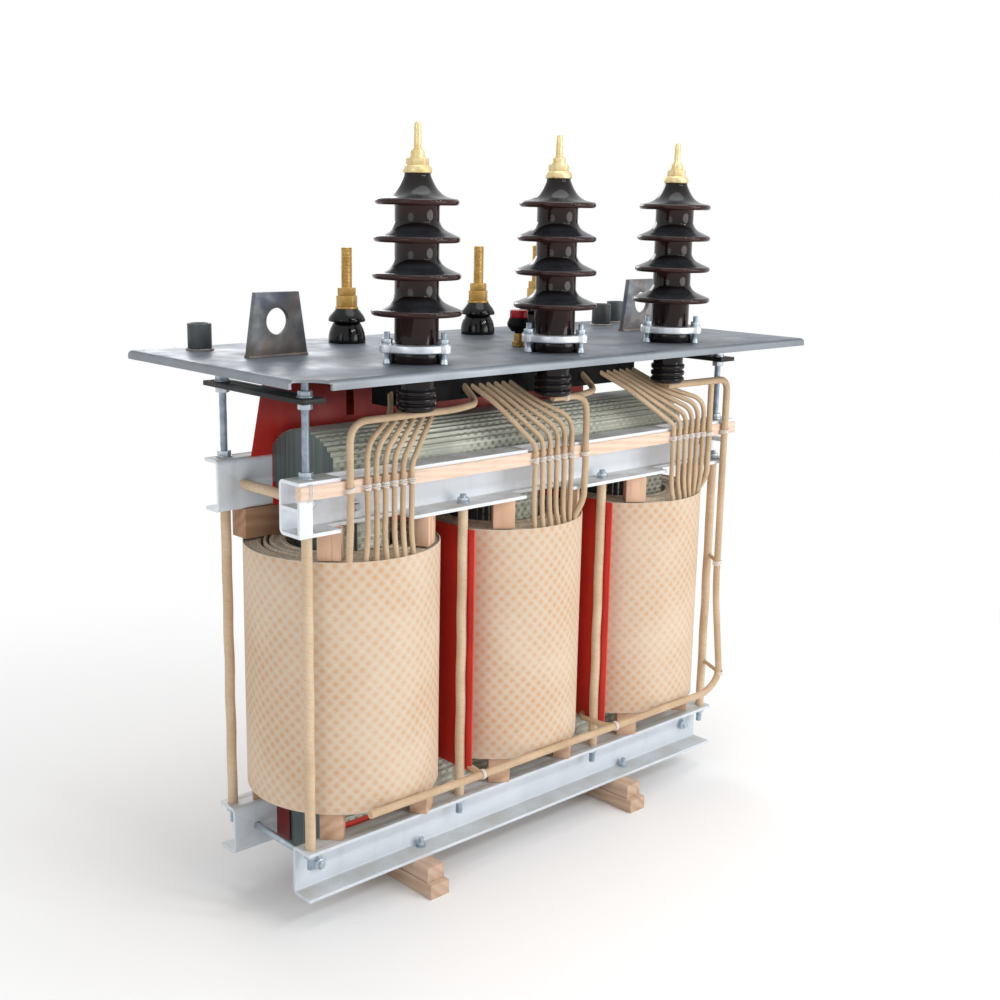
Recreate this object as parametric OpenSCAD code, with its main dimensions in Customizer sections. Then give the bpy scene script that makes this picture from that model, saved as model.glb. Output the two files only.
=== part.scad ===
// Active part of a three-phase oil-immersed distribution transformer: core, windings,
// clamps, leads and tank cover with its bushings, standing on two wooden bearers.
// X runs along the row of windings, -Y is the high-voltage side, Z is up, floor at Z = 0.

/* [Core] */
// Diameter of the circle round the lamination packets of a limb
core_circle_d = 191; // [160:1:230]
// Gap from the core's circle to the low-voltage winding
core_gap = 1.5; // [1:0.5:6]
// Length of the yokes past the axis of an outer limb
yoke_overhang = 82; // [74:1:100]
// Gap from the bearer blocks up to the lower yoke
yoke_foot_gap = 1; // [0.5:0.5:6]
// Gap from the lower yoke up to the windings
yoke_gap_low = 3; // [1:1:6]
// Gap from the windings up to the upper yoke
yoke_gap_high = 62; // [54:1:66]

/* [Windings] */
// Gap between neighbouring high-voltage windings
phase_gap = 16; // [15.5:0.5:40]
// Radial build of a high-voltage winding
hv_wall = 40; // [30:1:50]
// Height of the windings
winding_h = 440; // [400:5:520]
// Oil duct between the low-voltage and the high-voltage winding
duct = 6; // [3:0.5:12]
// Radial build of a low-voltage winding
lv_wall = 28; // [18:1:34]
// Thickness of the barrier boards between phases
barrier_t = 3; // [2:0.5:4]
// Depth of a barrier board, front to rear
barrier_depth = 280; // [240:2:300]
// Rise of the barrier boards over the windings
barrier_rise = 10; // [4:1:20]

/* [Clamping channels] */
// Sheet thickness of the folded channels
channel_t = 6; // [4:0.5:7]
// Outside radius of the channel bends
channel_bend = 10; // [8:1:12]
// Height of the lower channels
lower_h = 88; // [80:1:100]
// Width of the lower channels' flanges
lower_flange_w = 48; // [44:1:56]
// Length of the lower channels past the end tie rods
lower_past_rod = 15; // [12:1:40]
// Height of the upper channels
upper_h = 90; // [84:1:100]
// Width of the front upper channel's flanges
front_flange_w = 56; // [50:1:62]
// Width of the rear upper channel's flanges
rear_flange_w = 42; // [40:1:56]
// Length of the upper channels past the end tie rods
upper_past_rod = 31; // [26:1:50]
// Width of the end stiffener across the front flange tips
stiffener_w = 25; // [18:1:25]
// Red pressboard sheet between a yoke and its clamp
sheet_t = 2; // [1.5:0.5:4]
// Rise of the tall rear sheet over the upper clamp
sheet_rise = 140; // [120:1:150]

/* [Rods] */
// Diameter of the paper-wrapped tie rods
rod_d = 18; // [16:1:20]
// Diameter of the threaded rod ends
rod_end_d = 12; // [8:1:12]
// Distance of the end tie rods past the outer winding axis
rod_reach = 158; // [157:1:166]
// Distance of the tie rods from the web they pass
rod_offset = 24; // [23:1:26]
// Width across the corners of the rod nuts
rod_nut_d = 22; // [20:1:22]
// Height of the rod nuts
rod_nut_h = 10; // [8:1:14]
// Diameter of the paper-wrapped rods across the upper clamps
upper_cross_d = 18; // [14:1:22]
// Diameter of the plated rods across the lower clamps
lower_cross_d = 12; // [10:1:18]
// Distance of a lower cross rod in from the end tie rods
lower_cross_in = 31; // [26:1:36]

/* [Wooden parts] */
// Height of the blocks over the windings
block_high_h = 53; // [46:1:64]
// Width of a front or lower block, along the winding's edge
block_w = 40; // [32:1:44]
// Depth of a front or lower block, along the winding's radius
block_d = 32; // [26:1:34]
// Distance of those blocks in from the winding's edge
block_edge = 8; // [6:1:14]
// Width of the blocks over the windings at the rear
rear_block_w = 84; // [60:1:90]
// Distance of those rear blocks from the winding axis
rear_block_reach = 96; // [86:1:104]
// Clearance from the clamp web to a block
block_web_gap = 5; // [3:1:6]
// Height of the wooden strip that carries the leads
strip_h = 23; // [18:1:30]
// Thickness of the lead strip
strip_t = 15; // [12:1:18]
// Distance that the lead strip stands in front of the flange
strip_proud = 4; // [2:1:6]
// Height of the lower bearer beams
beam_h = 27; // [24:1:40]
// Width of the bearer beams
beam_w = 43; // [38:1:60]
// Length of the bearer beams
beam_len = 374; // [340:2:420]
// Height of the blocks on the beams
pad_h = 28; // [20:1:40]
// Width of the blocks on the beams
pad_w = 38; // [30:1:38]
// Length of the blocks on the beams
pad_len = 350; // [310:2:374]
// Distance of the left bearer from the middle
bearer_left = 286; // [250:1:300]
// Distance of the right bearer from the middle
bearer_right = 243; // [220:1:300]

/* [Cover] */
// Length of the cover
cover_len = 1224; // [1200:2:1260]
// Width of the cover
cover_w = 524; // [500:2:560]
// Sheet thickness of the cover
cover_t = 5; // [4:0.5:7]
// Height of the folded lip, sheet included
cover_lip = 15; // [12:1:20]
// Outside radius of the folded edge
cover_bend = 8; // [7.5:0.5:9]
// Radius of the relief cut in the front left corner
corner_relief = 40; // [20:1:44]
// Height from the upper yoke to the top of the cover
cover_rise = 121; // [118:1:150]
// Diameter of the studs that carry the cover
stud_d = 13; // [10:1:14]
// Width across the corners of the stud nuts
stud_nut_d = 24; // [20:1:25]
// Height of the stud nuts
stud_nut_h = 11; // [9:1:13]
// Width of the flat bars that join the studs
bar_w = 44; // [30:1:50]
// Thickness of the flat bars
bar_t = 8; // [5:1:10]
// Length of the flat bars past the studs
bar_past_stud = 25; // [16:1:40]
// Depth of the flat bars under the cover lip
bar_drop = 30; // [24:1:34]

/* [High-voltage bushings] */
// Distance between neighbouring high-voltage bushings
hv_pitch = 318; // [300:1:330]
// Distance of the high-voltage row from the front edge of the cover
hv_edge = 111; // [100:1:130]
// Height of the plain neck over the top shed
neck_h = 3.5; // [2:0.5:24]
// Diameter of the porcelain body
porcelain_d = 72; // [68:1:76]
// Diameter of the neck under the terminal
neck_d = 43; // [40:1:48]
// Diameter of the top shed
shed_top_d = 135; // [125:1:140]
// Diameter of the bottom shed
shed_low_d = 148; // [140:1:152]
// Height of the bottom shed's rim over the cover
first_shed_h = 81; // [66:1:96]
// Distance between the sheds
shed_pitch = 58; // [54:1:60]
// Height of the bell shape over a shed's rim
shed_bell = 26; // [20:1:30]
// Height of the longer bell over the top shed's rim
top_bell = 37; // [28:1:48]
// Thickness of the shed's rounded rim
shed_rim = 7; // [5:1:9]
// Diameter of the foot that rests on the cover
foot_d = 90; // [84:1:94]
// Height of that foot
foot_h = 18; // [16:1:22]
// Diameter of the ribbed tail under the cover
tail_d = 66; // [60:1:68]
// Length of the tail under the cover top
tail_len = 80; // [70:1:84]
// Depth of the tail's grooves
tail_groove = 4; // [2:1:6]
// Diameter of the round clamp ring
ring_d = 112; // [106:1:124]
// Thickness of the clamp ring
ring_t = 13; // [10:1:16]
// Gap from the porcelain's foot to the clamp studs
ring_stud_gap = 3; // [2:0.5:6]
// Diameter of the clamp studs
ring_stud_d = 10; // [8:1:11]
// Radius of the ears that carry the clamp studs
ring_ear_r = 12; // [10:1:13]
// Width across the corners of the brass cap
cap_d = 47; // [44:1:52]
// Height of the brass cap
cap_h = 35; // [30:1:40]
// Diameter of the brass terminal pin
pin_d = 12; // [10:1:14]
// Length of the terminal pin over the cap
pin_len = 38; // [30:1:50]

/* [Low-voltage bushings] */
// Distance between neighbouring low-voltage bushings
lv_pitch = 162; // [150:1:170]
// Place of the low-voltage row along the cover
lv_shift = 19; // [0:1:30]
// Distance of the low-voltage row from the rear edge of the cover
lv_edge = 99; // [80:1:120]
// Diameter of the porcelain's foot and shed
lv_shed_d = 68; // [60:1:74]
// Height of the porcelain
lv_body_h = 62; // [56:1:70]
// Diameter of the porcelain's waist
lv_waist_d = 48; // [44:1:54]
// Diameter of the porcelain collar under the cover
lv_collar_d = 40; // [34:1:46]
// Height of that collar under the cover's top
lv_collar_h = 25; // [18:1:32]
// Diameter of the threaded stud
lv_stud_d = 20; // [16:1:22]
// Length of the stud over the porcelain
lv_stud_len = 110; // [90:1:120]
// Diameter of the washer
lv_washer_d = 42; // [38:1:46]
// Thickness of the washer
lv_washer_t = 4; // [3:0.5:6]
// Width across the corners of the lower nut
lv_nut_low_d = 39; // [36:1:42]
// Height of the lower nut
lv_nut_low_h = 20; // [16:1:24]
// Width across the corners of the upper nut
lv_nut_top_d = 34; // [30:1:36]
// Height of the upper nut
lv_nut_top_h = 14; // [12:1:18]
// Width of the flat bars between the studs and the windings
lv_bar_w = 30; // [24:1:36]
// Thickness of the flat bars
lv_bar_t = 5; // [4:0.5:8]
// Gap from the rear clamp to the bars, and between their two planes
lv_bar_gap = 8; // [6:1:14]
// Depth of the bars' upper ends under the cover's top
lv_bar_drop = 65; // [56:1:80]

/* [Cover fittings] */
// Distance of the lifting lugs from the middle, along the cover
lug_x = 456; // [440:1:470]
// Distance of the lifting lugs behind the middle
lug_y = 46; // [0:1:70]
// Width of a lifting lug at its foot
lug_w = 118; // [100:1:130]
// Width of a lifting lug at its top
lug_top_w = 85; // [70:1:95]
// Height of a lifting lug
lug_h = 106; // [96:1:120]
// Thickness of a lifting lug
lug_t = 11; // [8:1:16]
// Diameter of the lifting eye
lug_hole_d = 44; // [36:1:48]
// Height of the lifting eye over the cover
lug_hole_z = 58; // [52:1:64]
// Outside diameter of the pipe stubs
stub_d = 41; // [34:1:44]
// Wall of the pipe stubs, and depth of the plug set in them
stub_wall = 5; // [4:0.5:8]
// Height of the pipe stubs
stub_h = 46; // [40:1:60]
// Distance of the tap changer drive behind the high-voltage row
drive_back = 92; // [88:1:110]
// Diameter of the tap changer shaft
drive_shaft_d = 14; // [12:1:18]
// Height of the tap changer shaft over the cover
drive_shaft_h = 27; // [22:1:34]
// Diameter of the black drive housing
drive_head_d = 42; // [38:1:46]
// Height of the black drive housing
drive_head_h = 25; // [20:1:30]
// Diameter of the red cap
drive_cap_d = 33; // [28:1:36]
// Height of the red cap
drive_cap_h = 14; // [10:1:18]

/* [Leads] */
// Diameter of the paper-wrapped tap leads
tap_d = 9.5; // [7:0.5:10]
// Distance between neighbouring tap leads
tap_pitch = 18.5; // [16:0.5:19]
// Diameter of the paper-wrapped phase leads
phase_d = 12; // [10:0.5:13]
// Diameter of the lead along the foot of the windings
foot_lead_d = 14; // [12:0.5:15]
// Height of the tap changer beam
changer_h = 44; // [36:1:48]
// Thickness of the tap changer beam
changer_t = 46; // [40:1:50]

/* [Hidden] */
$fn = 48;
// One overrun for every cut
over = 1;
// Fit of rods and studs in their holes, on the diameter
hole_fit = 1;
// Depth to which a lead's end is set in the piece that holds it
seat = 0.3;
// Sides of a lead and steps of one bend
lead_sides = 8;
bend_steps = 4;

// Depth and width of the core, as shares of its circle
core_depth_share = 0.9215;
core_width_share = 0.7016;
core_depth = core_circle_d * core_depth_share;
yoke_h = core_circle_d * core_width_share;

// Windings from the core outward
lv_od = core_circle_d + 2 * (core_gap + lv_wall);
hv_od = lv_od + 2 * (duct + hv_wall);
phase_pitch = hv_od + phase_gap;

// Heights
lower_z = beam_h + pad_h;
block_low_h = yoke_h + yoke_gap_low + yoke_foot_gap - lower_h;
lower_top = lower_z + lower_h;
winding_z = lower_top + block_low_h;
winding_top = winding_z + winding_h;
upper_z = winding_top + block_high_h;
upper_top = upper_z + upper_h;
lower_yoke_z = winding_z - yoke_gap_low - yoke_h;
lower_yoke_top = lower_yoke_z + yoke_h;
upper_yoke_z = winding_top + yoke_gap_high;
cover_top = upper_yoke_z + yoke_h + cover_rise;
cover_under = cover_top - cover_t;
bar_top = cover_top - cover_lip - bar_drop;

// Depths from the middle plane
web_in = core_depth / 2 + sheet_t;
web_out = web_in + channel_t;
rod_y = web_out + rod_offset;
upper_tip = web_in + front_flange_w;
rear_tip = web_in + rear_flange_w;
lower_tip = web_in + lower_flange_w;
strip_front = upper_tip + strip_proud;
tap_y = strip_front + tap_d / 2 - seat;
phase_y = strip_front + phase_d / 2 - seat;
riser_y = strip_front + foot_lead_d / 2 - seat;
foot_lead_y = hv_od / 2 + foot_lead_d / 2 - seat;
hv_row = cover_w / 2 - hv_edge;
lv_row = cover_w / 2 - lv_edge;
drive_y = hv_row - drive_back;
bar_len = 2 * (rod_y + bar_past_stud);
ring_pcd = foot_d + ring_stud_d + 2 * ring_stud_gap;

// Places along the row
yoke_half = phase_pitch + yoke_overhang;
barrier_step = (rod_d + barrier_t) / 2 + seat;
rod_end_x = phase_pitch + rod_reach;
rod_xs = [-rod_end_x, -(phase_pitch + barrier_step) / 2, (phase_pitch - barrier_step) / 2, rod_end_x];
lower_half_len = rod_end_x + lower_past_rod;
upper_half_len = rod_end_x + upper_past_rod;
cross_x = rod_end_x - rod_d / 2 - upper_cross_d / 2 - over;
lower_cross_x = rod_end_x - lower_cross_in;
phases = [-1, 0, 1];
sides = [-1, 1];

// Lamination packets, as shares of the core's width and depth
packet_width_shares = [1, 0.95, 0.89, 0.82, 0.73, 0.62, 0.5];
packet_depth_shares = [0.3, 0.45, 0.58, 0.7, 0.81, 0.91, 1];

// Porcelain shed, as shares of its radial reach and of the bell's height
bell_reach_shares = [0, 0.12, 0.3, 0.55, 0.8, 0.95];
bell_height_shares = [1, 0.72, 0.46, 0.24, 0.1, 0.03];
shed_under_share = 0.45;
shed_count = 4;
shed_zs = [for (i = [0 : shed_count - 1]) first_shed_h + (shed_count - 1 - i) * shed_pitch];
shed_growth = (shed_low_d - shed_top_d) / (shed_count - 1);
porcelain_h = shed_zs[0] + shed_rim / 2 + top_bell + neck_h;

// Stepped section of the laminated core: widths across, packets stacked along the depth
module stepped_section() {
    for (i = [0 : len(packet_width_shares) - 1])
        square([yoke_h * packet_width_shares[i], core_depth * packet_depth_shares[i]], center = true);
}

module core_limbs() {
    color("dimgray")
    for (p = phases)
        translate([p * phase_pitch, 0, lower_yoke_top])
            linear_extrude(upper_yoke_z - lower_yoke_top)
                stepped_section();
}

module yoke(z) {
    translate([-yoke_half, 0, z + yoke_h / 2])
        rotate([0, 90, 0])
            linear_extrude(2 * yoke_half)
                stepped_section();
}

module upper_yoke() {
    color("darkseagreen") yoke(upper_yoke_z);
}

module lower_yoke() {
    color("darkseagreen") yoke(lower_yoke_z);
}

module winding(p, d, wall) {
    translate([p * phase_pitch, 0, winding_z])
        difference() {
            cylinder(h = winding_h, d = d, $fn = 96);
            translate([0, 0, -over])
                cylinder(h = winding_h + 2 * over, d = d - 2 * wall, $fn = 96);
        }
}

module lv_windings() {
    color("tan")
    for (p = phases)
        winding(p, lv_od, lv_wall);
}

module hv_winding_left() {
    color("burlywood") winding(-1, hv_od, hv_wall);
}

module hv_winding_middle() {
    color("burlywood") winding(0, hv_od, hv_wall);
}

module hv_winding_right() {
    color("burlywood") winding(1, hv_od, hv_wall);
}

// Boards that stand on the lower yoke beside the middle tie rods
module phase_barriers() {
    color("firebrick")
    for (s = sides)
        translate([s * phase_pitch / 2 + barrier_step / 2, 0, lower_yoke_top])
            translate([-barrier_t / 2, -barrier_depth / 2, 0])
                cube([barrier_t, barrier_depth, winding_top + barrier_rise - lower_yoke_top]);
}

// Square of size w by h with two rounded corners on its left
module bent_outline(w, h, r) {
    translate([r, 0])
        square([w - r, h]);
    translate([0, r])
        square([r, h - 2 * r]);
    for (y = [r, h - r])
        translate([r, y])
            circle(r);
}

// Folded C: web on the left, flanges to the right
module channel_section(h, flange) {
    difference() {
        bent_outline(flange, h, channel_bend);
        translate([channel_t, channel_t])
            bent_outline(flange, h - 2 * channel_t, channel_bend - channel_t);
    }
}

// A channel along the row with its web against the sheet and its flanges outward
module channel(side, z, h, flange, half_len) {
    translate([0, side * web_in, z])
        rotate([0, 0, side > 0 ? 0 : 180])
            translate([-half_len, 0, 0])
                rotate([90, 0, 90])
                    linear_extrude(2 * half_len)
                        channel_section(h, flange);
}

module rod_holes(side, z) {
    for (x = rod_xs)
        translate([x, side * rod_y, z - over])
            cylinder(h = channel_t + 2 * over, d = rod_end_d + hole_fit);
}

// Holes through a web for the rods across the clamps
module cross_holes(side, x, z, d) {
    for (s = sides)
        translate([s * x, side * (web_in + channel_t / 2), z])
            rotate([90, 0, 0])
                cylinder(h = channel_t + 2 * over, d = d + hole_fit, center = true);
}

module lower_clamp(side) {
    difference() {
        channel(side, lower_z, lower_h, lower_flange_w, lower_half_len);
        rod_holes(side, lower_top - channel_t);
        cross_holes(side, lower_cross_x, lower_z + lower_h / 2, lower_cross_d);
    }
}

module lower_clamp_front() {
    color("lightsteelblue") lower_clamp(-1);
}

module lower_clamp_rear() {
    color("lightsteelblue") lower_clamp(1);
}

module stud_holes(side) {
    for (s = sides)
        translate([s * rod_end_x, side * rod_y, upper_top - channel_t - over])
            cylinder(h = channel_t + 2 * over, d = stud_d + hole_fit);
}

// Ends of the gaps in the front flanges where the leads pass, as shares of the phase pitch
notch_from_shares = [-1.304, -0.15, 0.94];
notch_to_shares = [-0.883, 0.187, 1.288];
module lead_notches() {
    for (i = [0 : 2])
        translate([notch_from_shares[i] * phase_pitch, -upper_tip - over, upper_z - over])
            cube([(notch_to_shares[i] - notch_from_shares[i]) * phase_pitch,
                upper_tip + over - web_out - channel_bend, upper_h + 2 * over]);
}

module upper_clamp_front() {
    color("lightsteelblue") {
        difference() {
            channel(-1, upper_z, upper_h, front_flange_w, upper_half_len);
            lead_notches();
            rod_holes(-1, upper_z);
            stud_holes(-1);
            cross_holes(-1, cross_x, upper_z + upper_h / 2, rod_end_d);
        }
        // Stiffeners across the flange tips, from the bottom flange to the lead strip
        for (s = sides)
            translate([s * (upper_half_len - stiffener_w / 2), -upper_tip, upper_z + channel_t])
                translate([-stiffener_w / 2, 0, 0])
                    cube([stiffener_w, channel_t, upper_h - 2 * channel_t - strip_h]);
        // Shelves from the web to the stiffeners
        for (s = sides)
            translate([s * (upper_half_len - stiffener_w / 2), -upper_tip, upper_z + upper_h / 2])
                translate([-stiffener_w / 2, 0, -channel_t / 2])
                    cube([stiffener_w, upper_tip - web_out, channel_t]);
    }
}

module upper_clamp_rear() {
    color("lightsteelblue")
    difference() {
        channel(1, upper_z, upper_h, rear_flange_w, upper_half_len);
        rod_holes(1, upper_z);
        stud_holes(1);
        cross_holes(1, cross_x, upper_z + upper_h / 2, rod_end_d);
    }
}

// Wrapped rod between the flanges, with a threaded end and a nut past each flange
module tie_rod() {
    rod_h = upper_z - lower_top;
    end_h = channel_t + rod_nut_h + rod_end_d / 2;
    cylinder(h = rod_h, d = rod_d);
    translate([0, 0, -end_h])
        cylinder(h = rod_h + 2 * end_h, d = rod_end_d);
    for (z = [-channel_t - rod_nut_h, rod_h + channel_t])
        translate([0, 0, z])
            cylinder(h = rod_nut_h, d = rod_nut_d, $fn = 6);
}

module tie_rods(side) {
    for (x = rod_xs)
        translate([x, side * rod_y, lower_top])
            tie_rod();
}

module tie_rods_front() {
    color("navajowhite") tie_rods(-1);
}

module tie_rods_rear() {
    color("navajowhite") tie_rods(1);
}

// Rod between two webs, with threaded ends through them and a nut outside each
module cross_rods(x, z, d, end_d) {
    end_h = channel_t + rod_nut_h + end_d / 2;
    for (s = sides)
        translate([s * x, 0, z])
            rotate([90, 0, 0]) {
                cylinder(h = 2 * web_in, d = d, center = true);
                cylinder(h = 2 * (web_in + end_h), d = end_d, center = true);
                for (e = sides)
                    translate([0, 0, e * (web_out + rod_nut_h / 2)])
                        cylinder(h = rod_nut_h, d = rod_nut_d, center = true, $fn = 6);
            }
}

module upper_cross_rods() {
    color("tan") cross_rods(cross_x, upper_z + upper_h / 2, upper_cross_d, rod_end_d);
}

module lower_cross_rods() {
    color("silver") cross_rods(lower_cross_x, lower_z + lower_h / 2, lower_cross_d, lower_cross_d);
}

// Two rear blocks per winding, between the winding and the flange
module top_blocks_rear() {
    color("peru")
    for (p = phases, x = sides)
        translate([p * phase_pitch + x * rear_block_reach - rear_block_w / 2, web_in, winding_top])
            cube([rear_block_w, rear_tip - web_in, block_high_h]);
}

// Two front blocks per winding, set along its radius at these shares of a full turn
block_turn_shares = [[0.628, 0.842], [0.65, 0.853], [0.65, 0.883]];
block_inner = web_out + block_web_gap;
module radial_blocks(z, h) {
    for (i = [0 : 2], turn = block_turn_shares[i])
        translate([phases[i] * phase_pitch, 0, z])
            rotate([0, 0, turn * 360])
                translate([hv_od / 2 - block_edge - block_d, -block_w / 2, 0])
                    cube([block_d, block_w, h]);
}

module top_blocks_front() {
    color("peru") radial_blocks(winding_top, block_high_h);
}

// Blocks on the lower flange, cut back in front of the yoke
module bottom_blocks_front() {
    color("peru")
    intersection() {
        radial_blocks(lower_top, block_low_h);
        translate([-rod_end_x, -hv_od / 2, lower_top])
            cube([2 * rod_end_x, hv_od / 2 - block_inner, block_low_h]);
    }
}

module bottom_blocks_rear() {
    mirror([0, 1, 0])
        bottom_blocks_front();
}

// Strip tucked under the front top flange, a little proud of its tip
module lead_support_strip() {
    color("bisque")
    translate([-upper_half_len, -strip_front, upper_top - channel_t - strip_h])
        cube([2 * upper_half_len, strip_t, strip_h]);
}

// Tall red board between the upper yoke and the rear clamp, with a slot and slanted ends
sheet_flare_share = 0.52;
sheet_right_share = 0.76;
sheet_slot_share = [0.64, 0.6];
module rear_sheet() {
    flare = yoke_overhang * sheet_flare_share;
    top = upper_top + sheet_rise;
    slot = [-yoke_half * sheet_slot_share[0], -yoke_half * sheet_slot_share[1]];
    slot_z = upper_yoke_z + yoke_h;
    right = yoke_half * sheet_right_share;
    translate([0, web_in, 0])
        rotate([90, 0, 0])
            linear_extrude(sheet_t)
                polygon([
                    [-yoke_half, upper_z], [yoke_half, upper_z],
                    [yoke_half, upper_top], [right, upper_top], [right, top],
                    [slot[1], top], [slot[1], slot_z], [slot[0], slot_z], [slot[0], top],
                    [-yoke_half - flare / 3, top], [-yoke_half - flare, upper_top],
                    [-yoke_half, upper_top]]);
}

// Red sheets inside the four clamps
module yoke_sheets() {
    color("firebrick") {
        rear_sheet();
        translate([-yoke_half, -web_in, upper_z])
            cube([2 * yoke_half, sheet_t, upper_h - channel_t]);
        for (y = [-web_in, web_in - sheet_t])
            translate([-yoke_half, y, lower_z])
                cube([2 * yoke_half, sheet_t, lower_h + channel_t]);
    }
}

// Cover sheet with lips folded down on all four sides
module cover_blank(inset, r) {
    w = cover_w - 2 * inset;
    l = cover_len - 2 * inset;
    intersection() {
        translate([-l / 2, 0, 0])
            rotate([90, 0, 90])
                linear_extrude(l)
                    lipped_section(w, r);
        translate([0, w / 2, 0])
            rotate([90, 0, 0])
                linear_extrude(w)
                    lipped_section(l, r);
    }
}

// Section of the blank, measured down from the top of the sheet
module lipped_section(w, r) {
    translate([-w / 2, -cover_lip])
        square([w, cover_lip - r]);
    translate([r - w / 2, -cover_lip])
        square([w - 2 * r, cover_lip]);
    for (s = sides)
        translate([s * (w / 2 - r), -r])
            circle(r);
}

// Round bite at the front left corner, its lip folded down like the others
module corner_bite(r) {
    translate([-cover_len / 2, -cover_w / 2, -2 * cover_lip])
        cylinder(h = 2 * cover_lip + over, r = r);
}

module cover_plate() {
    color("slategray")
    translate([0, 0, cover_top])
    difference() {
        cover_blank(0, cover_bend);
        difference() {
            translate([0, 0, -cover_t])
                cover_blank(cover_t, cover_bend - cover_t);
            corner_bite(corner_relief + cover_t);
        }
        corner_bite(corner_relief);
        for (p = phases)
            translate([p * hv_pitch, -hv_row, -cover_t - over])
                cylinder(h = cover_t + 2 * over, d = tail_d + 2 * hole_fit);
        for (x = lv_xs)
            translate([x, lv_row, -cover_t - over])
                cylinder(h = cover_t + 2 * over, d = lv_collar_d + 2 * hole_fit);
        translate([0, -drive_y, -cover_t - over])
            cylinder(h = cover_t + 2 * over, d = drive_shaft_d + hole_fit);
    }
}

// Studs from the upper clamps to the cover, with a nut on the flange and two at the bar
module cover_studs() {
    stud_z = upper_top - channel_t - stud_nut_h / 2;
    color("silver")
    for (x = sides, y = sides)
        translate([x * rod_end_x, y * rod_y, 0]) {
            translate([0, 0, stud_z])
                cylinder(h = cover_under - stud_z, d = stud_d);
            for (z = [upper_top, bar_top - bar_t - stud_nut_h, bar_top])
                translate([0, 0, z])
                    cylinder(h = stud_nut_h, d = stud_nut_d, $fn = 6);
        }
}

module cover_cross_bars() {
    color("dimgray")
    for (x = sides)
        difference() {
            translate([x * rod_end_x - bar_w / 2, -bar_len / 2, bar_top - bar_t])
                cube([bar_w, bar_len, bar_t]);
            for (y = sides)
                translate([x * rod_end_x, y * rod_y, bar_top - bar_t - over])
                    cylinder(h = bar_t + 2 * over, d = stud_d + hole_fit);
        }
}

// Half outline of one bell-shaped shed, from its top down to its underside
function shed_points(z, rim_r, top_r, body_r, bell) = concat(
    [for (i = [0 : len(bell_reach_shares) - 1])
        [top_r + (rim_r - top_r) * bell_reach_shares[i],
         z + shed_rim / 2 + bell * bell_height_shares[i]]],
    [[rim_r, z], [rim_r - shed_rim / 2, z - shed_rim / 2],
     [body_r + (rim_r - body_r) * shed_under_share, z - shed_rim / 4],
     [body_r, z - shed_rim]]);

// Half outline of the ribbed tail, from the foot down
tail_ring_count = 3;
function tail_points() = let(
    ring_zone = (tail_len - cover_t) / 2,
    ring_step = ring_zone / tail_ring_count,
    start = tail_len - ring_zone,
    r = tail_d / 2) concat(
    [[r, 0], [r - tail_groove, -start + ring_step / 2]],
    [for (i = [0 : tail_ring_count - 1], s = [[-1, 0], [0, 0.2], [0, 0.7], [-1, 0.9]])
        [r + s[0] * tail_groove, -start - (i + s[1]) * ring_step]],
    [[r - tail_groove, -tail_len]]);

module hv_bushing(p) {
    body_r = porcelain_d / 2;
    translate([p * hv_pitch, -hv_row, cover_top])
        rotate_extrude($fn = 72)
            polygon(concat(
                [[0, porcelain_h], [neck_d / 2, porcelain_h]],
                [for (i = [0 : shed_count - 1])
                    each shed_points(shed_zs[i], (shed_top_d + i * shed_growth) / 2,
                        i > 0 ? body_r : neck_d / 2, body_r, i > 0 ? shed_bell : top_bell)],
                [[body_r, foot_h], [foot_d / 2, foot_h], [foot_d / 2, 0]],
                tail_points(),
                [[0, -tail_len]]));
}

module hv_bushing_left() {
    color("saddlebrown") hv_bushing(-1);
}

module hv_bushing_middle() {
    color("saddlebrown") hv_bushing(0);
}

module hv_bushing_right() {
    color("saddlebrown") hv_bushing(1);
}

// Round ring with three ears, drawn down on the porcelain's foot by studs on the cover
module hv_clamp_rings() {
    third_turns = [47, 167, 287];
    stud_h = foot_h + ring_t + ring_stud_d * 2;
    stud_r = ring_stud_d / 2;
    nut_h = ring_stud_d;
    color("gainsboro")
    for (p = phases)
        translate([p * hv_pitch, -hv_row, cover_top]) {
            translate([0, 0, foot_h])
                difference() {
                    union() {
                        cylinder(h = ring_t, d = ring_d);
                        for (a = third_turns)
                            rotate([0, 0, a])
                                translate([ring_pcd / 2, 0, 0])
                                    cylinder(h = ring_t, r = ring_ear_r);
                    }
                    translate([0, 0, -over])
                        cylinder(h = ring_t + 2 * over, d = porcelain_d + 2 * hole_fit);
                }
            for (a = third_turns)
                rotate([0, 0, a])
                    translate([ring_pcd / 2, 0, 0]) {
                        cylinder(h = stud_h, d = ring_stud_d);
                        cylinder(h = foot_h / 2, r1 = stud_r + ring_stud_gap * 0.7, r2 = stud_r);
                        translate([0, 0, foot_h + ring_t])
                            cylinder(h = nut_h, r = ring_stud_d, $fn = 6);
                    }
        }
}

module hv_terminals() {
    color("gold")
    for (p = phases)
        translate([p * hv_pitch, -hv_row, cover_top + porcelain_h]) {
            cylinder(h = cap_h / 3, d = cap_d);
            cylinder(h = cap_h * 2 / 3, d = cap_d * 0.8, $fn = 6);
            cylinder(h = cap_h, d = cap_d / 2);
            cylinder(h = cap_h + pin_len, d = pin_d);
        }
}

lv_xs = [for (i = [-3, -1, 1, 3]) lv_shift + i * lv_pitch / 2];
// Outline of the porcelain: share of the way from its waist out to its shed, share of its height
lv_outline_shares = [[1, 0], [1, 0.14], [0.55, 0.34], [0.06, 0.5], [0, 0.56], [0.1, 0.62], [0.9, 0.68],
    [1, 0.74], [0.96, 0.84], [0.6, 0.95], [-0.3, 1]];

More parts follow.
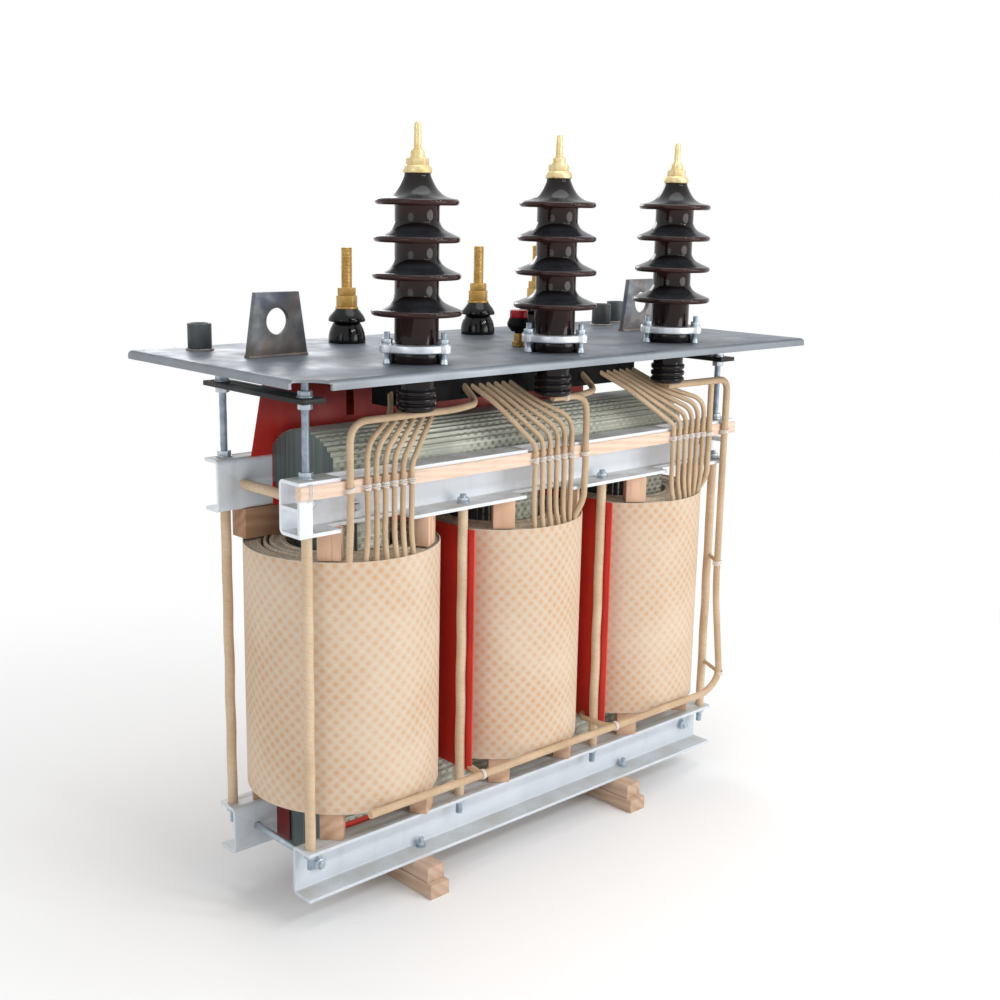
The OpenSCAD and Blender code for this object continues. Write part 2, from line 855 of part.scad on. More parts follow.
module lv_bushings() {
    bore_r = (lv_stud_d + hole_fit) / 2;
    color("black")
    for (x = lv_xs)
        translate([x, lv_row, cover_top])
            rotate_extrude()
                polygon(concat(
                    [[bore_r, -lv_collar_h], [lv_collar_d / 2, -lv_collar_h], [lv_collar_d / 2, 0]],
                    [for (s = lv_outline_shares)
                        [(lv_waist_d + s[0] * (lv_shed_d - lv_waist_d)) / 2, s[1] * lv_body_h]],
                    [[bore_r, lv_body_h]]));
}

module lv_terminals() {
    stud_drop = lv_body_h + lv_bar_drop + lv_bar_t;
    color("darkgoldenrod")
    for (x = lv_xs)
        translate([x, lv_row, cover_top + lv_body_h]) {
            cylinder(h = lv_washer_t, d = lv_washer_d);
            cylinder(h = lv_washer_t + lv_nut_low_h, d = lv_nut_low_d, $fn = 6);
            cylinder(h = lv_washer_t + lv_nut_low_h + lv_nut_top_h, d = lv_nut_top_d, $fn = 6);
            translate([0, 0, -stud_drop])
                cylinder(h = lv_stud_len + stud_drop, d = lv_stud_d);
            // Nuts under the collar and on the bar
            for (z = [-lv_collar_h - lv_nut_top_h, -lv_bar_drop])
                translate([0, 0, z - lv_body_h])
                    cylinder(h = lv_nut_top_h, d = lv_nut_top_d, $fn = 6);
        }
}

// Flat bars from the low-voltage windings up past the rear clamp to the studs:
// the neutral joins all three windings and goes to the first stud, the phases to the others
lv_bar_y = rear_tip + lv_bar_gap;
neutral_y = lv_bar_y + lv_bar_t + lv_bar_gap / 2;
lv_foot_z = winding_top + block_high_h / 4;
lv_foot_top = cover_top - lv_bar_drop;
lv_run_z = lv_foot_top - 2 * lv_bar_w;

// Tab on the winding and foot out to the plane of a bar
module lv_bar_start(x, y) {
    tab_y = (lv_od - lv_wall - lv_bar_t) / 2;
    translate([x - lv_bar_w / 2, tab_y, winding_top])
        cube([lv_bar_w, lv_bar_t, lv_foot_z - winding_top + lv_bar_t]);
    translate([x - lv_bar_w / 2, tab_y, lv_foot_z])
        cube([lv_bar_w, y + lv_bar_t - tab_y, lv_bar_t]);
}

// Upright, run along the row and upright to a stud, in one plane, with the foot under the stud
module lv_bar_run(x, x_stud, y) {
    y0 = min(y, lv_row - lv_bar_w / 2);
    y1 = max(y + lv_bar_t, lv_row + lv_bar_w / 2);
    translate([x - lv_bar_w / 2, y, lv_foot_z])
        cube([lv_bar_w, lv_bar_t, lv_run_z + lv_bar_w - lv_foot_z]);
    translate([min(x, x_stud) - lv_bar_w / 2, y, lv_run_z])
        cube([abs(x_stud - x) + lv_bar_w, lv_bar_t, lv_bar_w]);
    difference() {
        union() {
            translate([x_stud - lv_bar_w / 2, y, lv_run_z])
                cube([lv_bar_w, lv_bar_t, lv_foot_top - lv_run_z]);
            translate([x_stud - lv_bar_w / 2, y0, lv_foot_top - lv_bar_t])
                cube([lv_bar_w, y1 - y0, lv_bar_t]);
        }
        translate([x_stud, lv_row, lv_foot_top - lv_bar_t - over])
            cylinder(h = lv_bar_t + 2 * over, d = lv_stud_d + hole_fit);
    }
}

module lv_bars() {
    side_step = lv_bar_w * 0.8;
    color("chocolate") {
        for (i = [0 : 2]) {
            x = phases[i] * phase_pitch - side_step;
            lv_bar_start(x, lv_bar_y);
            lv_bar_run(x, lv_xs[i + 1], lv_bar_y);
        }
        for (p = phases)
            lv_bar_start(p * phase_pitch + side_step, neutral_y);
        translate([-phase_pitch + side_step - lv_bar_w / 2, neutral_y, lv_foot_z])
            cube([2 * phase_pitch + lv_bar_w, lv_bar_t, lv_bar_w]);
        lv_bar_run(lv_xs[0], lv_xs[0], neutral_y);
    }
}

// Tapered plates with a round lifting eye
module lifting_lugs() {
    color("gray")
    for (s = sides)
        translate([s * lug_x, lug_y + lug_t / 2, cover_top])
            rotate([90, 0, 0])
                linear_extrude(lug_t)
                    difference() {
                        polygon([[-lug_w / 2, 0], [lug_w / 2, 0],
                            [lug_top_w / 2, lug_h], [-lug_top_w / 2, lug_h]]);
                        translate([0, lug_hole_z])
                            circle(d = lug_hole_d);
                    }
}

// Plugged filling and relief stubs: one at the left end, two at the right end
stub_place_shares = [[-0.838, 0.742], [0.766, 0.642], [0.908, 0.78]];
module pipe_stubs() {
    color("darkslategray")
    for (s = stub_place_shares)
        translate([s[0] * cover_len / 2, s[1] * cover_w / 2, cover_top])
            difference() {
                cylinder(h = stub_h, d = stub_d);
                translate([0, 0, stub_h - stub_wall])
                    cylinder(h = stub_wall + over, d = stub_d - 2 * stub_wall);
            }
}

// Insulating beam that carries the tap contacts, hung from the cover by two straps
changer_reach_shares = [-1.01, 0.94];
changer_top = cover_under - changer_h * 0.75;
module tap_changer() {
    x0 = hv_pitch * changer_reach_shares[0];
    x1 = hv_pitch * changer_reach_shares[1];
    strap = changer_t / 2;
    color("darkslategray") {
        translate([x0, -drive_y - changer_t / 2, changer_top - changer_h])
            cube([x1 - x0, changer_t, changer_h]);
        for (x = [x0, x1 - strap])
            translate([x, -drive_y - strap / 2, changer_top])
                cube([strap, strap, cover_under - changer_top]);
    }
}

// Shaft from the beam through the cover, with the black mushroom housing on top
drive_outline_shares = [[0, 0], [0.6, 0], [0.9, 0.3], [1, 0.45], [1, 0.62], [0.82, 1], [0, 1]];
module tap_changer_drive() {
    color("black")
    translate([0, -drive_y, 0]) {
        translate([0, 0, changer_top])
            cylinder(h = cover_top - changer_top + drive_shaft_h + drive_head_h / 2, d = drive_shaft_d);
        translate([0, 0, cover_top + drive_shaft_h])
            rotate_extrude()
                polygon([for (s = drive_outline_shares) [s[0] * drive_head_d / 2, s[1] * drive_head_h]]);
    }
}

module tap_changer_cap() {
    color("red")
    translate([0, -drive_y, cover_top + drive_shaft_h + drive_head_h])
        cylinder(h = drive_cap_h, d = drive_cap_d);
}

function unit(v) = v / norm(v);

// Points of a rounded corner at b, cut back by the same length on both legs
function corner(a, b, c, cut) = let(
    k = min(cut, norm(a - b) * 0.48, norm(c - b) * 0.48),
    p = b + unit(a - b) * k,
    q = b + unit(c - b) * k)
    [for (i = [0 : bend_steps]) let(t = i / bend_steps)
        p * (1 - t) * (1 - t) + b * 2 * t * (1 - t) + q * t * t];

function rounded(path, cut) = concat([path[0]],
    [for (i = [1 : len(path) - 2]) each corner(path[i - 1], path[i], path[i + 1], cut)],
    [path[len(path) - 1]]);

function heading(p, i) = unit(p[min(i + 1, len(p) - 1)] - p[max(i - 1, 0)]);

// Side vectors carried along the path without twist
function carried(p, i, n) = let(t = heading(p, i), m = unit(n - t * (n * t)))
    i == len(p) - 1 ? [m] : concat([m], carried(p, i + 1, m));

// Round conductor of diameter d along a path with rounded corners
module lead(path, d, cut) {
    p = rounded(path, cut);
    first = heading(p, 0);
    side = abs(first[1]) < 0.9 ? [0, 1, 0] : [1, 0, 0];
    n = carried(p, 0, side);
    rings = len(p);
    polyhedron(
        [for (i = [0 : rings - 1], k = [0 : lead_sides - 1])
            let(a = k * 360 / lead_sides)
            p[i] + (n[i] * cos(a) + cross(heading(p, i), n[i]) * sin(a)) * d / 2],
        concat(
            [[for (k = [0 : lead_sides - 1]) k]],
            [for (i = [0 : rings - 2], k = [0 : lead_sides - 1]) let(m = (k + 1) % lead_sides)
                [i * lead_sides + k, (i + 1) * lead_sides + k, (i + 1) * lead_sides + m, i * lead_sides + m]],
            [[for (k = [lead_sides - 1 : -1 : 0]) (rings - 1) * lead_sides + k]]));
}

// Six leads from one winding past the strip and back to the tap changer beam
tap_count = 6;
// Middle of each group at the winding and at the beam, as shares of the phase pitch
tap_from_shares = [-1.0475, 0.0106, 1.0838];
tap_to_shares = [-0.74, -0.25, 0.68];
tap_foot_r = hv_od / 2 - tap_d;
tap_fan_share = 0.45;
module tap_leads(group) {
    from = tap_from_shares[group] * phase_pitch;
    to = tap_to_shares[group] * phase_pitch;
    beam_y = drive_y + changer_t / 2 - seat;
    pass_y = min((tap_y + beam_y) / 2, hv_row - tail_d / 2);
    strip_z = upper_top - channel_t - strip_h / 2;
    fan = (to > from ? -1 : 1) * tap_fan_share;
    for (i = [0 : tap_count - 1]) {
        k = (i - (tap_count - 1) / 2) * tap_pitch;
        bend_z = upper_top + tap_d * 3 + k * fan;
        x = from + k;
        x_top = to + k;
        side = x - phases[group] * phase_pitch;
        lead([[x, -sqrt(tap_foot_r * tap_foot_r - side * side), winding_top - seat],
            [x, -tap_y, winding_top + block_high_h * 0.6], [x, -tap_y, strip_z],
            [x, -tap_y, bend_z],
            [x + (x_top - x) * 0.7, -pass_y, cover_top - tail_len - tap_d],
            [x_top, -beam_y, changer_top - changer_h / 2]], tap_d, tap_d * 3);
    }
}

module tap_leads_left() {
    color("wheat") tap_leads(0);
}

module tap_leads_middle() {
    color("wheat") tap_leads(1);
}

module tap_leads_right() {
    color("wheat") tap_leads(2);
}

// Phase leads from the windings to the bushing tails, and the links between phases
phase_drop_shares = [-1.275, 0.24, 1.263];
// Where a phase lead enters its winding, as shares of the winding's radius
entry_shares = [-0.52, 0.386, 0.54];
entry_r = (hv_od - phase_d) / 2;
link_end_shares = [-0.42, 0.42];
tail_z = cover_top - tail_len - phase_d / 2 + seat;
run_z = cover_top - tail_len - foot_lead_d / 2 + seat;
module phase_leads() {
    beam_y = drive_y + changer_t / 2 - seat;
    color("wheat") {
        for (i = [0 : 2]) {
            x = phase_drop_shares[i] * phase_pitch;
            entry = entry_shares[i] * hv_od / 2;
            foot_x = phases[i] * phase_pitch + entry;
            foot_y = sqrt(entry_r * entry_r - entry * entry);
            // The right lead ends under the run of the foot lead, the others at their bushings
            tops = i == 2 ? [[x, -phase_y, run_z - foot_lead_d / 2 + seat]]
                : [[x, -phase_y, tail_z], [phases[i] * hv_pitch, -hv_row, tail_z]];
            lead(concat([[foot_x, -foot_y, winding_top - seat],
                [foot_x, -foot_y - seat, winding_top + phase_d],
                [foot_x, -phase_y, winding_top + block_high_h * 0.6],
                [x, -phase_y, upper_z + phase_d], [x, -phase_y, upper_top]], tops),
                phase_d, phase_d * 3);
        }
        for (i = [0, 1]) {
            end_x = link_end_shares[i] * phase_pitch;
            lead([[phases[i] * hv_pitch, -hv_row, tail_z],
                [(phases[i] * hv_pitch + end_x) / 2, -hv_row, tail_z],
                [end_x, -(hv_row + beam_y) / 2, tail_z],
                [end_x, -beam_y, changer_top - changer_h / 2]], phase_d, phase_d * 3);
        }
    }
}

// Lead from the right bushing down past the strip and along the foot of the windings
foot_riser_share = 1.405;
foot_end_share = 1.215;
module foot_lead() {
    x = foot_riser_share * phase_pitch;
    foot_z = winding_z + foot_lead_d / 2;
    color("wheat")
    lead([[hv_pitch, -hv_row, run_z],
        [x - foot_lead_d * 4, -riser_y, run_z], [x, -riser_y, run_z],
        [x, -riser_y, upper_top], [x, -riser_y, upper_z],
        [x, -riser_y, winding_z + winding_h / 2], [x, -foot_lead_y, foot_z + foot_lead_d * 2],
        [x - foot_lead_d * 3, -foot_lead_y, foot_z], [phase_pitch, -foot_lead_y, foot_z],
        [0, -foot_lead_y, foot_z], [-phase_pitch, -foot_lead_y, foot_z],
        [-foot_end_share * phase_pitch, -foot_lead_y, foot_z]],
        foot_lead_d, foot_lead_d * 3);
}

bearer_xs = [-bearer_left, bearer_right];
module bearers() {
    color("burlywood")
    for (x = bearer_xs)
        translate([x - beam_w / 2, -beam_len / 2, 0])
            cube([beam_w, beam_len, beam_h]);
}

module bearer_blocks() {
    color("peru")
    for (x = bearer_xs)
        translate([x - pad_w / 2, -pad_len / 2, beam_h])
            cube([pad_w, pad_len, pad_h]);
}

core_limbs();
upper_yoke();
lower_yoke();
lv_windings();
hv_winding_left();
hv_winding_middle();
hv_winding_right();
phase_barriers();
lower_clamp_front();
lower_clamp_rear();
upper_clamp_front();
upper_clamp_rear();
tie_rods_front();
tie_rods_rear();
upper_cross_rods();
lower_cross_rods();
top_blocks_front();
top_blocks_rear();
bottom_blocks_front();
bottom_blocks_rear();
lead_support_strip();
yoke_sheets();
cover_plate();
cover_studs();
cover_cross_bars();
hv_bushing_left();
hv_bushing_middle();
hv_bushing_right();
hv_clamp_rings();
hv_terminals();
lv_bushings();
lv_terminals();
lv_bars();
lifting_lugs();
pipe_stubs();
tap_changer();
tap_changer_drive();
tap_changer_cap();
tap_leads_left();
tap_leads_middle();
tap_leads_right();
phase_leads();
foot_lead();
bearers();
bearer_blocks();
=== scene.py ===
import math
import random

import bmesh
import bpy
from mathutils import Matrix, Vector


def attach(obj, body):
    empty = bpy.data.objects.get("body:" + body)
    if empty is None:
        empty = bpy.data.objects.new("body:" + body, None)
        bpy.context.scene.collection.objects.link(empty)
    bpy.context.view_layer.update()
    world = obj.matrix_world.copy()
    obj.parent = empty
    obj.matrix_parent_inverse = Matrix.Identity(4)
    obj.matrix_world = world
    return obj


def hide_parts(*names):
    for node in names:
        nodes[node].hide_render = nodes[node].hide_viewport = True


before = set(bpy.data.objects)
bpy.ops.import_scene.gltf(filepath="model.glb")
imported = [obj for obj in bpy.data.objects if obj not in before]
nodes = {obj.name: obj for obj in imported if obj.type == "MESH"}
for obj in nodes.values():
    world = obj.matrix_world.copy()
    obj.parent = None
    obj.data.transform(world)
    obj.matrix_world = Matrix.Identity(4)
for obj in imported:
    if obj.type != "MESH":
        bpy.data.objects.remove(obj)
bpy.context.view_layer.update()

MM = 0.001
rng = random.Random(11)


def srgb(r, g, b):
    """Linear colour of a written one."""
    lin = [c / 255 / 12.92 if c <= 10 else ((c / 255 + 0.055) / 1.055) ** 2.4 for c in (r, g, b)]
    return (*lin, 1.0)


class Finish:
    """One procedural material, built from its shader outward."""

    def __init__(self, name, rough=0.5, metal=0.0, shine=0.4):
        self.mat = bpy.data.materials.new(name)
        self.mat.use_nodes = True
        self.tree = self.mat.node_tree
        self.shader = self.tree.nodes["Principled BSDF"]
        self.shader.inputs["Roughness"].default_value = rough
        self.shader.inputs["Metallic"].default_value = metal
        self.shader.inputs["Specular IOR Level"].default_value = shine
        self.place = self.add("ShaderNodeTexCoord").outputs["Object"]

    def add(self, kind, **settings):
        node = self.tree.nodes.new(kind)
        for key, value in settings.items():
            setattr(node, key, value)
        return node

    def feed(self, socket, value):
        if isinstance(value, bpy.types.NodeSocket):
            self.tree.links.new(value, socket)
        else:
            socket.default_value = value

    def math(self, op, *values):
        node = self.add("ShaderNodeMath", operation=op)
        for socket, value in zip(node.inputs, values):
            self.feed(socket, value)
        return node.outputs[0]

    def vmath(self, op, *values):
        node = self.add("ShaderNodeVectorMath", operation=op)
        for socket, value in zip(node.inputs, values):
            self.feed(socket, value)
        return node.outputs["Value" if op == "LENGTH" else "Vector"]

    def split(self, vector):
        node = self.add("ShaderNodeSeparateXYZ")
        self.feed(node.inputs[0], vector)
        return node.outputs

    def noise(self, scale, stretch=(1, 1, 1), detail=3.0, rough=0.55):
        node = self.add("ShaderNodeTexNoise")
        node.inputs["Scale"].default_value = scale
        node.inputs["Detail"].default_value = detail
        node.inputs["Roughness"].default_value = rough
        self.feed(node.inputs["Vector"], self.vmath("MULTIPLY", self.place, stretch))
        return node.outputs["Fac"]

    def ramp(self, fac, low, high, a=0.0, b=1.0):
        node = self.add("ShaderNodeMapRange", interpolation_type="SMOOTHSTEP")
        for socket, value in zip(node.inputs, (fac, low, high, a, b)):
            self.feed(socket, value)
        return node.outputs[0]

    def blend(self, fac, a, b):
        node = self.add("ShaderNodeMix", data_type="RGBA", blend_type="MIX")
        self.feed(node.inputs[0], fac)
        self.feed(node.inputs[6], a)
        self.feed(node.inputs[7], b)
        return node.outputs[2]

    def bump(self, height, strength, distance):
        node = self.add("ShaderNodeBump")
        node.inputs["Strength"].default_value = strength
        node.inputs["Distance"].default_value = distance
        self.feed(node.inputs["Height"], height)
        before = self.shader.inputs["Normal"]
        if before.is_linked:
            self.feed(node.inputs["Normal"], before.links[0].from_socket)
        self.feed(before, node.outputs[0])

    def paint(self, colour, rough=None):
        self.feed(self.shader.inputs["Base Color"], colour)
        if rough is not None:
            self.feed(self.shader.inputs["Roughness"], rough)
        return self.mat


def winding_paper():
    """Resin-dotted paper: soft brown dots in staggered rows, a paler lattice between them."""
    f = Finish("dotted_winding_paper")
    wrap = f.add("ShaderNodeUVMap", uv_map="wrap").outputs[0]
    cell_size = (21.9, 22.4, 0)
    reach = []
    for shift in ((0, 0, 0), (0.5, 0.5, 0)):
        cell = f.vmath("FRACTION", f.vmath("ADD", wrap, shift))
        cell = f.vmath("SUBTRACT", cell, (0.5, 0.5, 0))
        reach.append(f.vmath("LENGTH", f.vmath("MULTIPLY", cell, cell_size)))
    near = f.math("MINIMUM", *reach)
    soft = f.math("MULTIPLY_ADD", f.noise(500, detail=2), 2.6, -1.3)
    dots = f.ramp(f.math("ADD", near, soft), 7.4, 1.4)
    print_depth = f.ramp(f.noise(7), 0.3, 0.7, 0.34, 0.86)
    fibre = f.noise(60, (1, 1, 9), detail=4)
    cloud = f.noise(7, detail=4)
    base = f.blend(f.ramp(cloud, 0.3, 0.7), srgb(215, 197, 175), srgb(206, 185, 162))
    base = f.blend(f.ramp(fibre, 0.35, 0.75, 0, 0.25), base, srgb(198, 173, 145))
    base = f.blend(f.ramp(near, 8.4, 10.4, 0, 0.3), base, srgb(226, 212, 195))
    base = f.blend(f.math("MULTIPLY", dots, print_depth), base, srgb(207, 158, 114))
    f.bump(fibre, 0.25, 0.0006)
    f.bump(cloud, 0.2, 0.002)
    return f.paint(base, f.ramp(fibre, 0.3, 0.7, 0.62, 0.82))


def paper_edges():
    """Cut ends of the windings: rough paper with the lines of its layers."""
    f = Finish("winding_edge_paper")
    grain = f.noise(160, (1, 1, 1), detail=5)
    layers = f.noise(26, (1, 1, 30), detail=2)
    base = f.blend(f.ramp(grain, 0.3, 0.7), srgb(228, 216, 198), srgb(200, 184, 162))
    base = f.blend(f.ramp(layers, 0.5, 0.62, 0, 0.35), base, srgb(160, 142, 120))
    f.bump(grain, 0.4, 0.001)
    return f.paint(base, 0.85)


def lead_wrap(name, pale, deep, lap):
    """Paper tape wound round a conductor or a rod, its laps running round as it goes along."""
    f = Finish(name)
    u, v, _ = f.split(f.add("ShaderNodeUVMap", uv_map="wrap").outputs[0])
    turns = f.math("MULTIPLY_ADD", v, 1 / lap, u)
    turns = f.math("ADD", turns, f.math("MULTIPLY", f.noise(25), 0.25))
    across = f.math("FRACT", turns)
    edge = f.ramp(across, 0.0, 0.16)
    crease = f.noise(300, detail=4)
    tone = f.noise(14, detail=3)
    base = f.blend(f.ramp(tone, 0.3, 0.7), pale, deep)
    base = f.blend(f.ramp(crease, 0.45, 0.8, 0, 0.3), base, srgb(176, 142, 104))
    base = f.blend(f.math("MULTIPLY_ADD", edge, -0.2, 0.2), base, srgb(158, 126, 92))
    f.bump(across, 0.25, 0.0008)
    f.bump(crease, 0.3, 0.0005)
    return f.paint(base, f.ramp(crease, 0.3, 0.7, 0.6, 0.8))


def red_board(name, pale, deep, paler):
    """Red insulating board, streaked, with painted shade high up under the cover."""
    f = Finish(name)
    cloud = f.noise(8, detail=4)
    streak = f.noise(30, (1, 1, 0.05), detail=3)
    base = f.blend(f.ramp(cloud, 0.3, 0.7), pale, deep)
    base = f.blend(f.ramp(streak, 0.5, 0.8, 0, 0.35), base, paler)
    # Painted shade: towards the top the board is blended to a dark red, where the cover shades it.
    high = f.ramp(f.math("MULTIPLY_ADD", cloud, 0.04, f.split(f.place)[2]), 0.82, 0.94, 0, 0.75)
    base = f.blend(high, base, srgb(52, 12, 14))
    f.bump(f.noise(220), 0.12, 0.0006)
    return f.paint(base, f.ramp(cloud, 0.3, 0.7, 0.34, 0.52))


def clamp_paint(name, pale, deep):
    """Grey paint with runs and specks, dusty on what faces up."""
    f = Finish(name)
    normal = f.split(f.add("ShaderNodeNewGeometry").outputs["Normal"])
    cloud = f.noise(6, detail=5)
    run = f.noise(22, (1, 1, 0.12), detail=4)
    speck = f.noise(420, detail=2)
    base = f.blend(f.ramp(cloud, 0.3, 0.7), pale, deep)
    base = f.blend(f.ramp(run, 0.52, 0.75, 0, 0.35), base, srgb(178, 186, 194))
    upward_patches = f.math("MULTIPLY", f.ramp(normal[2], 0.6, 0.95), f.ramp(f.noise(16, detail=5), 0.25, 0.75, 0.25, 0.95))
    base = f.blend(upward_patches, base, srgb(184, 183, 176))
    base = f.blend(f.ramp(speck, 0.68, 0.74, 0, 0.5), base, srgb(120, 122, 122))
    f.bump(f.noise(260), 0.1, 0.0007)
    return f.paint(base, f.ramp(cloud, 0.3, 0.7, 0.38, 0.55))


def wood(name, pale, deep, along, scale=1.0):
    """Straight-grained wood, its grain along one axis."""
    f = Finish(name)
    stretch = [1.0, 1.0, 1.0]
    stretch[along] = 0.06
    warp = f.noise(9 * scale, stretch, detail=2)
    rings = f.add("ShaderNodeTexWave", wave_type="BANDS", bands_direction="DIAGONAL")
    rings.inputs["Scale"].default_value = 26 * scale
    rings.inputs["Distortion"].default_value = 3.5
    rings.inputs["Detail"].default_value = 3.0
    rings.inputs["Detail Scale"].default_value = 1.4
    f.feed(rings.inputs["Vector"], f.vmath("MULTIPLY", f.place, [c if c == 1 else 0.1 for c in stretch]))
    pores = f.noise(420 * scale, [c if c == 1 else 0.035 for c in stretch], detail=3)
    base = f.blend(rings.outputs["Fac"], pale, deep)
    base = f.blend(f.ramp(warp, 0.35, 0.7, 0, 0.5), base, pale)
    base = f.blend(f.ramp(pores, 0.58, 0.72, 0, 0.5), base, tuple(c * 0.55 for c in deep[:3]) + (1,))
    f.bump(pores, 0.3, 0.0006)
    return f.paint(base, f.ramp(pores, 0.3, 0.7, 0.55, 0.75))


def mill_steel(name, pale, deep, warm, metal=0.55, marks=0.7, paler=0.4):
    """Bare rolled sheet with its oxide skin, stains and scratches, its upright faces painted paler as painted light.
    """
    f = Finish(name, metal=metal)
    cloud = f.noise(5, (1, 2.2, 1), detail=6, rough=0.62)
    roll = f.noise(24, (0.05, 1, 1), detail=4)
    blot = f.noise(2.6, detail=5, rough=0.7)
    scratch = f.noise(90, (0.05, 1.4, 1), detail=2)
    base = f.blend(f.ramp(cloud, 0.3, 0.72), pale, deep)
    base = f.blend(f.ramp(roll, 0.45, 0.75, 0, 0.35), base, deep)
    base = f.blend(f.ramp(blot, 0.52, 0.66, 0, 0.4), base, warm)
    base = f.blend(f.ramp(scratch, 0.69, 0.73, 0, marks), base, srgb(190, 192, 198))
    # Painted light: upright faces, such as the cover's lip, are blended paler than what lies flat.
    side = f.math("ABSOLUTE", f.split(f.add("ShaderNodeNewGeometry").outputs["Normal"])[2])
    base = f.blend(f.ramp(side, 0.85, 0.3, 0, paler), base, srgb(172, 176, 181))
    f.bump(cloud, 0.14, 0.003)
    f.bump(scratch, 0.1, 0.0004)
    return f.paint(base, f.ramp(f.noise(11, detail=5), 0.25, 0.75, 0.34, 0.62))


def heat_steel():
    """Welded lug: dark plate, straw and blue tints rising from its weld."""
    f = Finish("heat_tinted_lug", metal=0.7)
    z = f.split(f.place)[2]
    wave = f.math("MULTIPLY_ADD", f.noise(18, detail=4), 0.05, z)
    tint = f.ramp(wave, 1.03, 0.965)
    cloud = f.noise(24, detail=5)
    base = f.blend(f.ramp(cloud, 0.3, 0.7), srgb(126, 129, 132), srgb(90, 94, 97))
    base = f.blend(f.ramp(f.noise(11, (1, 1, 0.6), detail=5), 0.5, 0.68, 0, 0.6), base, srgb(112, 92, 80))
    base = f.blend(f.ramp(f.noise(15, detail=3), 0.54, 0.7, 0, 0.5), base, srgb(82, 90, 112))
    base = f.blend(f.ramp(f.noise(9, (1, 1, 0.25), detail=2), 0.58, 0.68, 0, 0.5), base, srgb(164, 164, 166))
    base = f.blend(f.math("MULTIPLY", tint, 0.5), base, srgb(126, 108, 92))
    base = f.blend(f.ramp(wave, 0.982, 0.962, 0, 0.6), base, srgb(172, 164, 154))
    f.bump(cloud, 0.25, 0.0012)
    return f.paint(base, f.ramp(cloud, 0.3, 0.7, 0.36, 0.58))


def plated(name, pale, deep, rough=0.3):
    """Plated or cast metal with a faint cloud."""
    f = Finish(name, metal=0.85)
    cloud = f.noise(60, detail=4)
    fine = f.noise(500, detail=2)
    base = f.blend(f.ramp(cloud, 0.3, 0.7), pale, deep)
    f.bump(fine, 0.08, 0.0004)
    return f.paint(base, f.ramp(cloud, 0.3, 0.7, rough, rough + 0.2))


def porcelain(name, body, rim, gloss, sheen_and_dust):
    """Glaze, redder where it thins at the rims, with a grey painted reflection of a bright ceiling, and dust, on what
    faces up.
    """
    f = Finish(name, rough=gloss, shine=0.26)
    share = f.add("ShaderNodeAttribute", attribute_name="rim").outputs["Fac"]
    up = f.split(f.add("ShaderNodeNewGeometry").outputs["Normal"])[2]
    cloud = f.noise(22, detail=4)
    base = f.blend(f.ramp(cloud, 0.3, 0.7), body, tuple(c * 0.72 for c in body[:3]) + (1,))
    base = f.blend(f.math("MULTIPLY", share, f.ramp(f.noise(14), 0.2, 0.7, 0.45, 1.0)), base, rim)
    # Painted reflection: what faces up is greyed as if it mirrored a bright ceiling, and made rougher, like dust.
    upward_patches = f.math("MULTIPLY", f.ramp(up, 0.4, 0.85), f.ramp(f.noise(30, detail=4), 0.2, 0.75, 0.3, 0.8))
    base = f.blend(upward_patches, base, sheen_and_dust)
    f.bump(f.noise(38, detail=2), 0.05, 0.002)
    return f.paint(base, f.math("MULTIPLY_ADD", upward_patches, 0.22, gloss))


def machined(name, pale, deep, rough=0.26):
    """Brass or copper: fine marks round each piece and dull patches."""
    f = Finish(name, metal=0.5)
    turn = f.noise(30, (1, 1, 60), detail=2)
    dull = f.noise(50, detail=4)
    base = f.blend(f.ramp(dull, 0.3, 0.7), pale, deep)
    base = f.blend(f.ramp(turn, 0.5, 0.8, 0, 0.3), base, deep)
    f.bump(turn, 0.12, 0.0003)
    return f.paint(base, f.ramp(dull, 0.3, 0.7, rough, rough + 0.22))


def moulded(name, pale, deep, rough, shine=0.4):
    """Moulded plastic with a fine grain."""
    f = Finish(name, shine=shine)
    cloud = f.noise(40, detail=4)
    f.bump(f.noise(350), 0.12, 0.0005)
    return f.paint(f.blend(f.ramp(cloud, 0.3, 0.7), pale, deep), f.ramp(cloud, 0.3, 0.7, rough, rough + 0.2))


